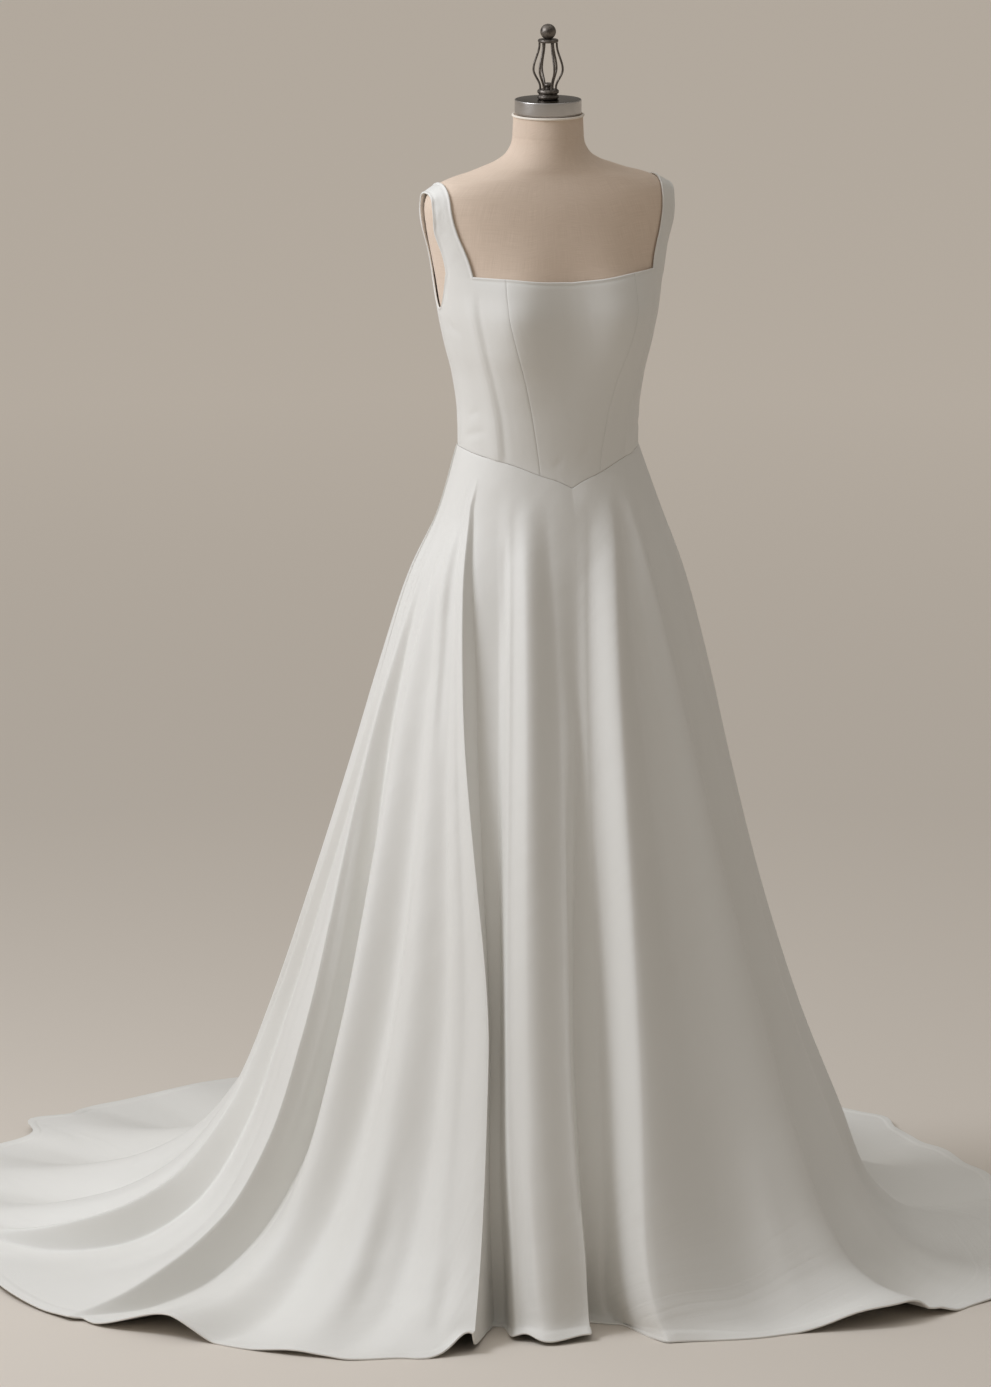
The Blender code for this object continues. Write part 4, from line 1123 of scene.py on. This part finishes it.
def satin():
    """Matte satin crepe: fine grain, faint slubs and a soft sheen."""
    nodes = Nodes("satin_crepe", (0.84, 0.83, 0.79), 0.5)
    place = nodes.place()
    slubs = nodes.noise(nodes.place(scale=(900, 40, 1)), 1.0)
    grain = nodes.noise(place, CREPE_GRAIN, 3.0)
    cloud = nodes.speckle(2.5, 3.0)
    nodes.paint(cloud, (0.822, 0.81, 0.772), (0.85, 0.842, 0.81))
    nodes.roughen(grain, 0.46, 0.58)
    nodes.shader.inputs["Sheen Weight"].default_value = 0.12
    nodes.shader.inputs["Sheen Roughness"].default_value = 0.4
    nodes.shader.inputs["Specular IOR Level"].default_value = 0.4
    ripple = nodes.noise(nodes.place(scale=(24, 7, 1)), 1.0)
    nodes.bump(((ripple, 0.0009), (slubs, 0.00006), (grain, 0.00005),
                (weave(nodes, place, SATIN_THREAD), 0.00004)))
    return nodes.material


def linen():
    """Beige linen with uneven threads both ways."""
    nodes = Nodes("form_linen", (0.78, 0.63, 0.50), 0.85)
    place = nodes.place()
    warp = nodes.noise(nodes.place(scale=(1300, 30, 1)), 1.0)
    weft = nodes.noise(nodes.place(scale=(30, 1300, 1)), 1.0)
    uneven = nodes.math("MULTIPLY", nodes.math("ADD", warp, weft), 0.5)
    nodes.paint(uneven, (0.74, 0.59, 0.465), (0.87, 0.715, 0.585))
    nodes.shader.inputs["Sheen Weight"].default_value = 0.1
    nodes.bump(((nodes.speckle(9.0), 0.0010), (uneven, 0.00015),
                (weave(nodes, place, LINEN_THREAD), 0.00012)))
    return nodes.material


def cream():
    """Cream cotton cord round the top of the neck."""
    nodes = Nodes("rim_cord", (0.84, 0.78, 0.69), 0.8)
    twist = nodes.speckle(1200.0)
    nodes.paint(twist, (0.80, 0.73, 0.63), (0.88, 0.82, 0.74))
    nodes.bump(((twist, 0.0002),))
    return nodes.material


def steel():
    """Steel with brush lines round its side."""
    nodes = Nodes("brushed_steel", (0.45, 0.43, 0.42), 0.34, 1.0)
    lines = nodes.noise(nodes.place(scale=(3, 5000, 1)), 1.0, 3.0)
    wear = nodes.speckle(60.0, 3.0)
    nodes.paint(lines, (0.50, 0.48, 0.465), (0.66, 0.64, 0.62))
    nodes.roughen(wear, 0.28, 0.42)
    nodes.bump(((lines, 0.00004),))
    return nodes.material


def painted_reflection_steel():
    """Polished top of the cap. Its dark colour is a painted reflection of dark surroundings, not a
    darker steel.
    """
    nodes = Nodes("steel_painted_reflection", (0.10, 0.085, 0.07), 0.16, 1.0)
    smear = nodes.speckle(90.0, 4.0)
    nodes.roughen(smear, 0.12, 0.22)
    nodes.paint(smear, (0.085, 0.072, 0.06), (0.13, 0.11, 0.09))
    return nodes.material


def pewter():
    """Aged pewter, darker in patches."""
    nodes = Nodes("aged_pewter", (0.20, 0.17, 0.15), 0.42, 0.9)
    patches = nodes.speckle(260.0, 4.0)
    pits = nodes.speckle(1500.0)
    nodes.paint(patches, (0.085, 0.072, 0.062), (0.25, 0.225, 0.20))
    nodes.roughen(patches, 0.34, 0.55)
    nodes.bump(((pits, 0.0001),))
    return nodes.material


def black_paint():
    """Black stove paint with a fine orange-peel grain."""
    nodes = Nodes("black_paint", (0.10, 0.10, 0.10), 0.42)
    peel = nodes.speckle(700.0)
    dust = nodes.speckle(14.0, 4.0)
    nodes.paint(dust, (0.085, 0.085, 0.085), (0.14, 0.135, 0.13))
    nodes.bump(((peel, 0.0001),))
    return nodes.material


def floor_paper():
    """Pale studio paper with painted light: darker near the dress and lighter away from it, as a lit
    backdrop is.
    """
    nodes = Nodes("floor_paper", (0.70, 0.64, 0.57), 0.95)
    settings = {"gradient_type": "SPHERICAL"}
    # Painted light: a colour gradient out from the dress stands in for the light on a backdrop.
    near = nodes.add("ShaderNodeTexGradient", settings, Vector=nodes.place("Object", (0.1, 0.1, 0.1)))
    nodes.paint(near.outputs["Fac"], (0.90, 0.825, 0.74), (0.72, 0.66, 0.59))
    return nodes.material


def build_floor():
    mesh = bpy.data.meshes.new("floor")
    corners = [(x * FLOOR_HALF, y * FLOOR_HALF, 0) for x, y in ((-1, -1), (1, -1), (1, 1), (-1, 1))]
    mesh.from_pydata(corners, [], [(0, 1, 2, 3)])
    mesh.materials.append(floor_paper())
    floor = add_object("floor", mesh)


def look_at(item, aim):
    item.rotation_euler = (Vector(aim) - item.location).to_track_quat("-Z", "Y").to_euler()


def add_light(name, kind, place, aim, power, colour):
    light = bpy.data.lights.new(name, kind)
    light.energy = power
    light.color = colour
    item = add_object(name, light)
    item.location = place
    look_at(item, aim)
    return light


def build_lights():
    """A large soft key light from the wearer's right, and an even glow from above."""
    bpy.context.scene.view_settings.view_transform = "Standard"
    world = bpy.data.worlds.new("studio")
    bpy.context.scene.world = world
    world.use_nodes = True
    sky = world.node_tree.nodes["Background"]
    sky.inputs["Color"].default_value = (1.0, 0.92, 0.82, 1)
    sky.inputs["Strength"].default_value = 0.19
    key = add_light("key", "AREA", (-2.4, 0.0, 2.8), (0, 0, 1.35), 49, (0.945, 0.98, 1.05))
    key.shape = "RECTANGLE"
    key.size, key.size_y = 1.1, 1.3
    rise = math.radians(OVERHEAD_RISE)
    place = polar(math.cos(rise), OVERHEAD_AZIMUTH, math.sin(rise))
    overhead = add_light("overhead", "SUN", Vector(place) * 5, (0, 0, 0), 1.0, (1.0, 0.99, 0.97))
    overhead.angle = math.radians(100)


def build_camera():
    camera = bpy.data.cameras.new("camera")
    camera.lens = CAMERA_LENS
    camera.sensor_width = SENSOR
    item = add_object("camera", camera)
    item.location = polar(CAMERA_DISTANCE, CAMERA_AZIMUTH, CAMERA_HEIGHT)
    look_at(item, CAMERA_AIM)
    bpy.context.scene.camera = item


def main():
    build_camera()
    build_floor()
    build_lights()
    cloth = satin()
    build_skirt_panel("skirt_front", RIGHT_SIDE_SEAM, LEFT_SIDE_SEAM, cloth)
    build_skirt_panel("skirt_back_right", 0, RIGHT_SIDE_SEAM, cloth)
    build_skirt_panel("skirt_back_left", LEFT_SIDE_SEAM, len(FOLDS), cloth)
    build_bodice(cloth)
    build_form(linen())
    build_rim(cream())
    build_finial(build_cap(steel()), pewter())
    build_stand(black_paint())


main()
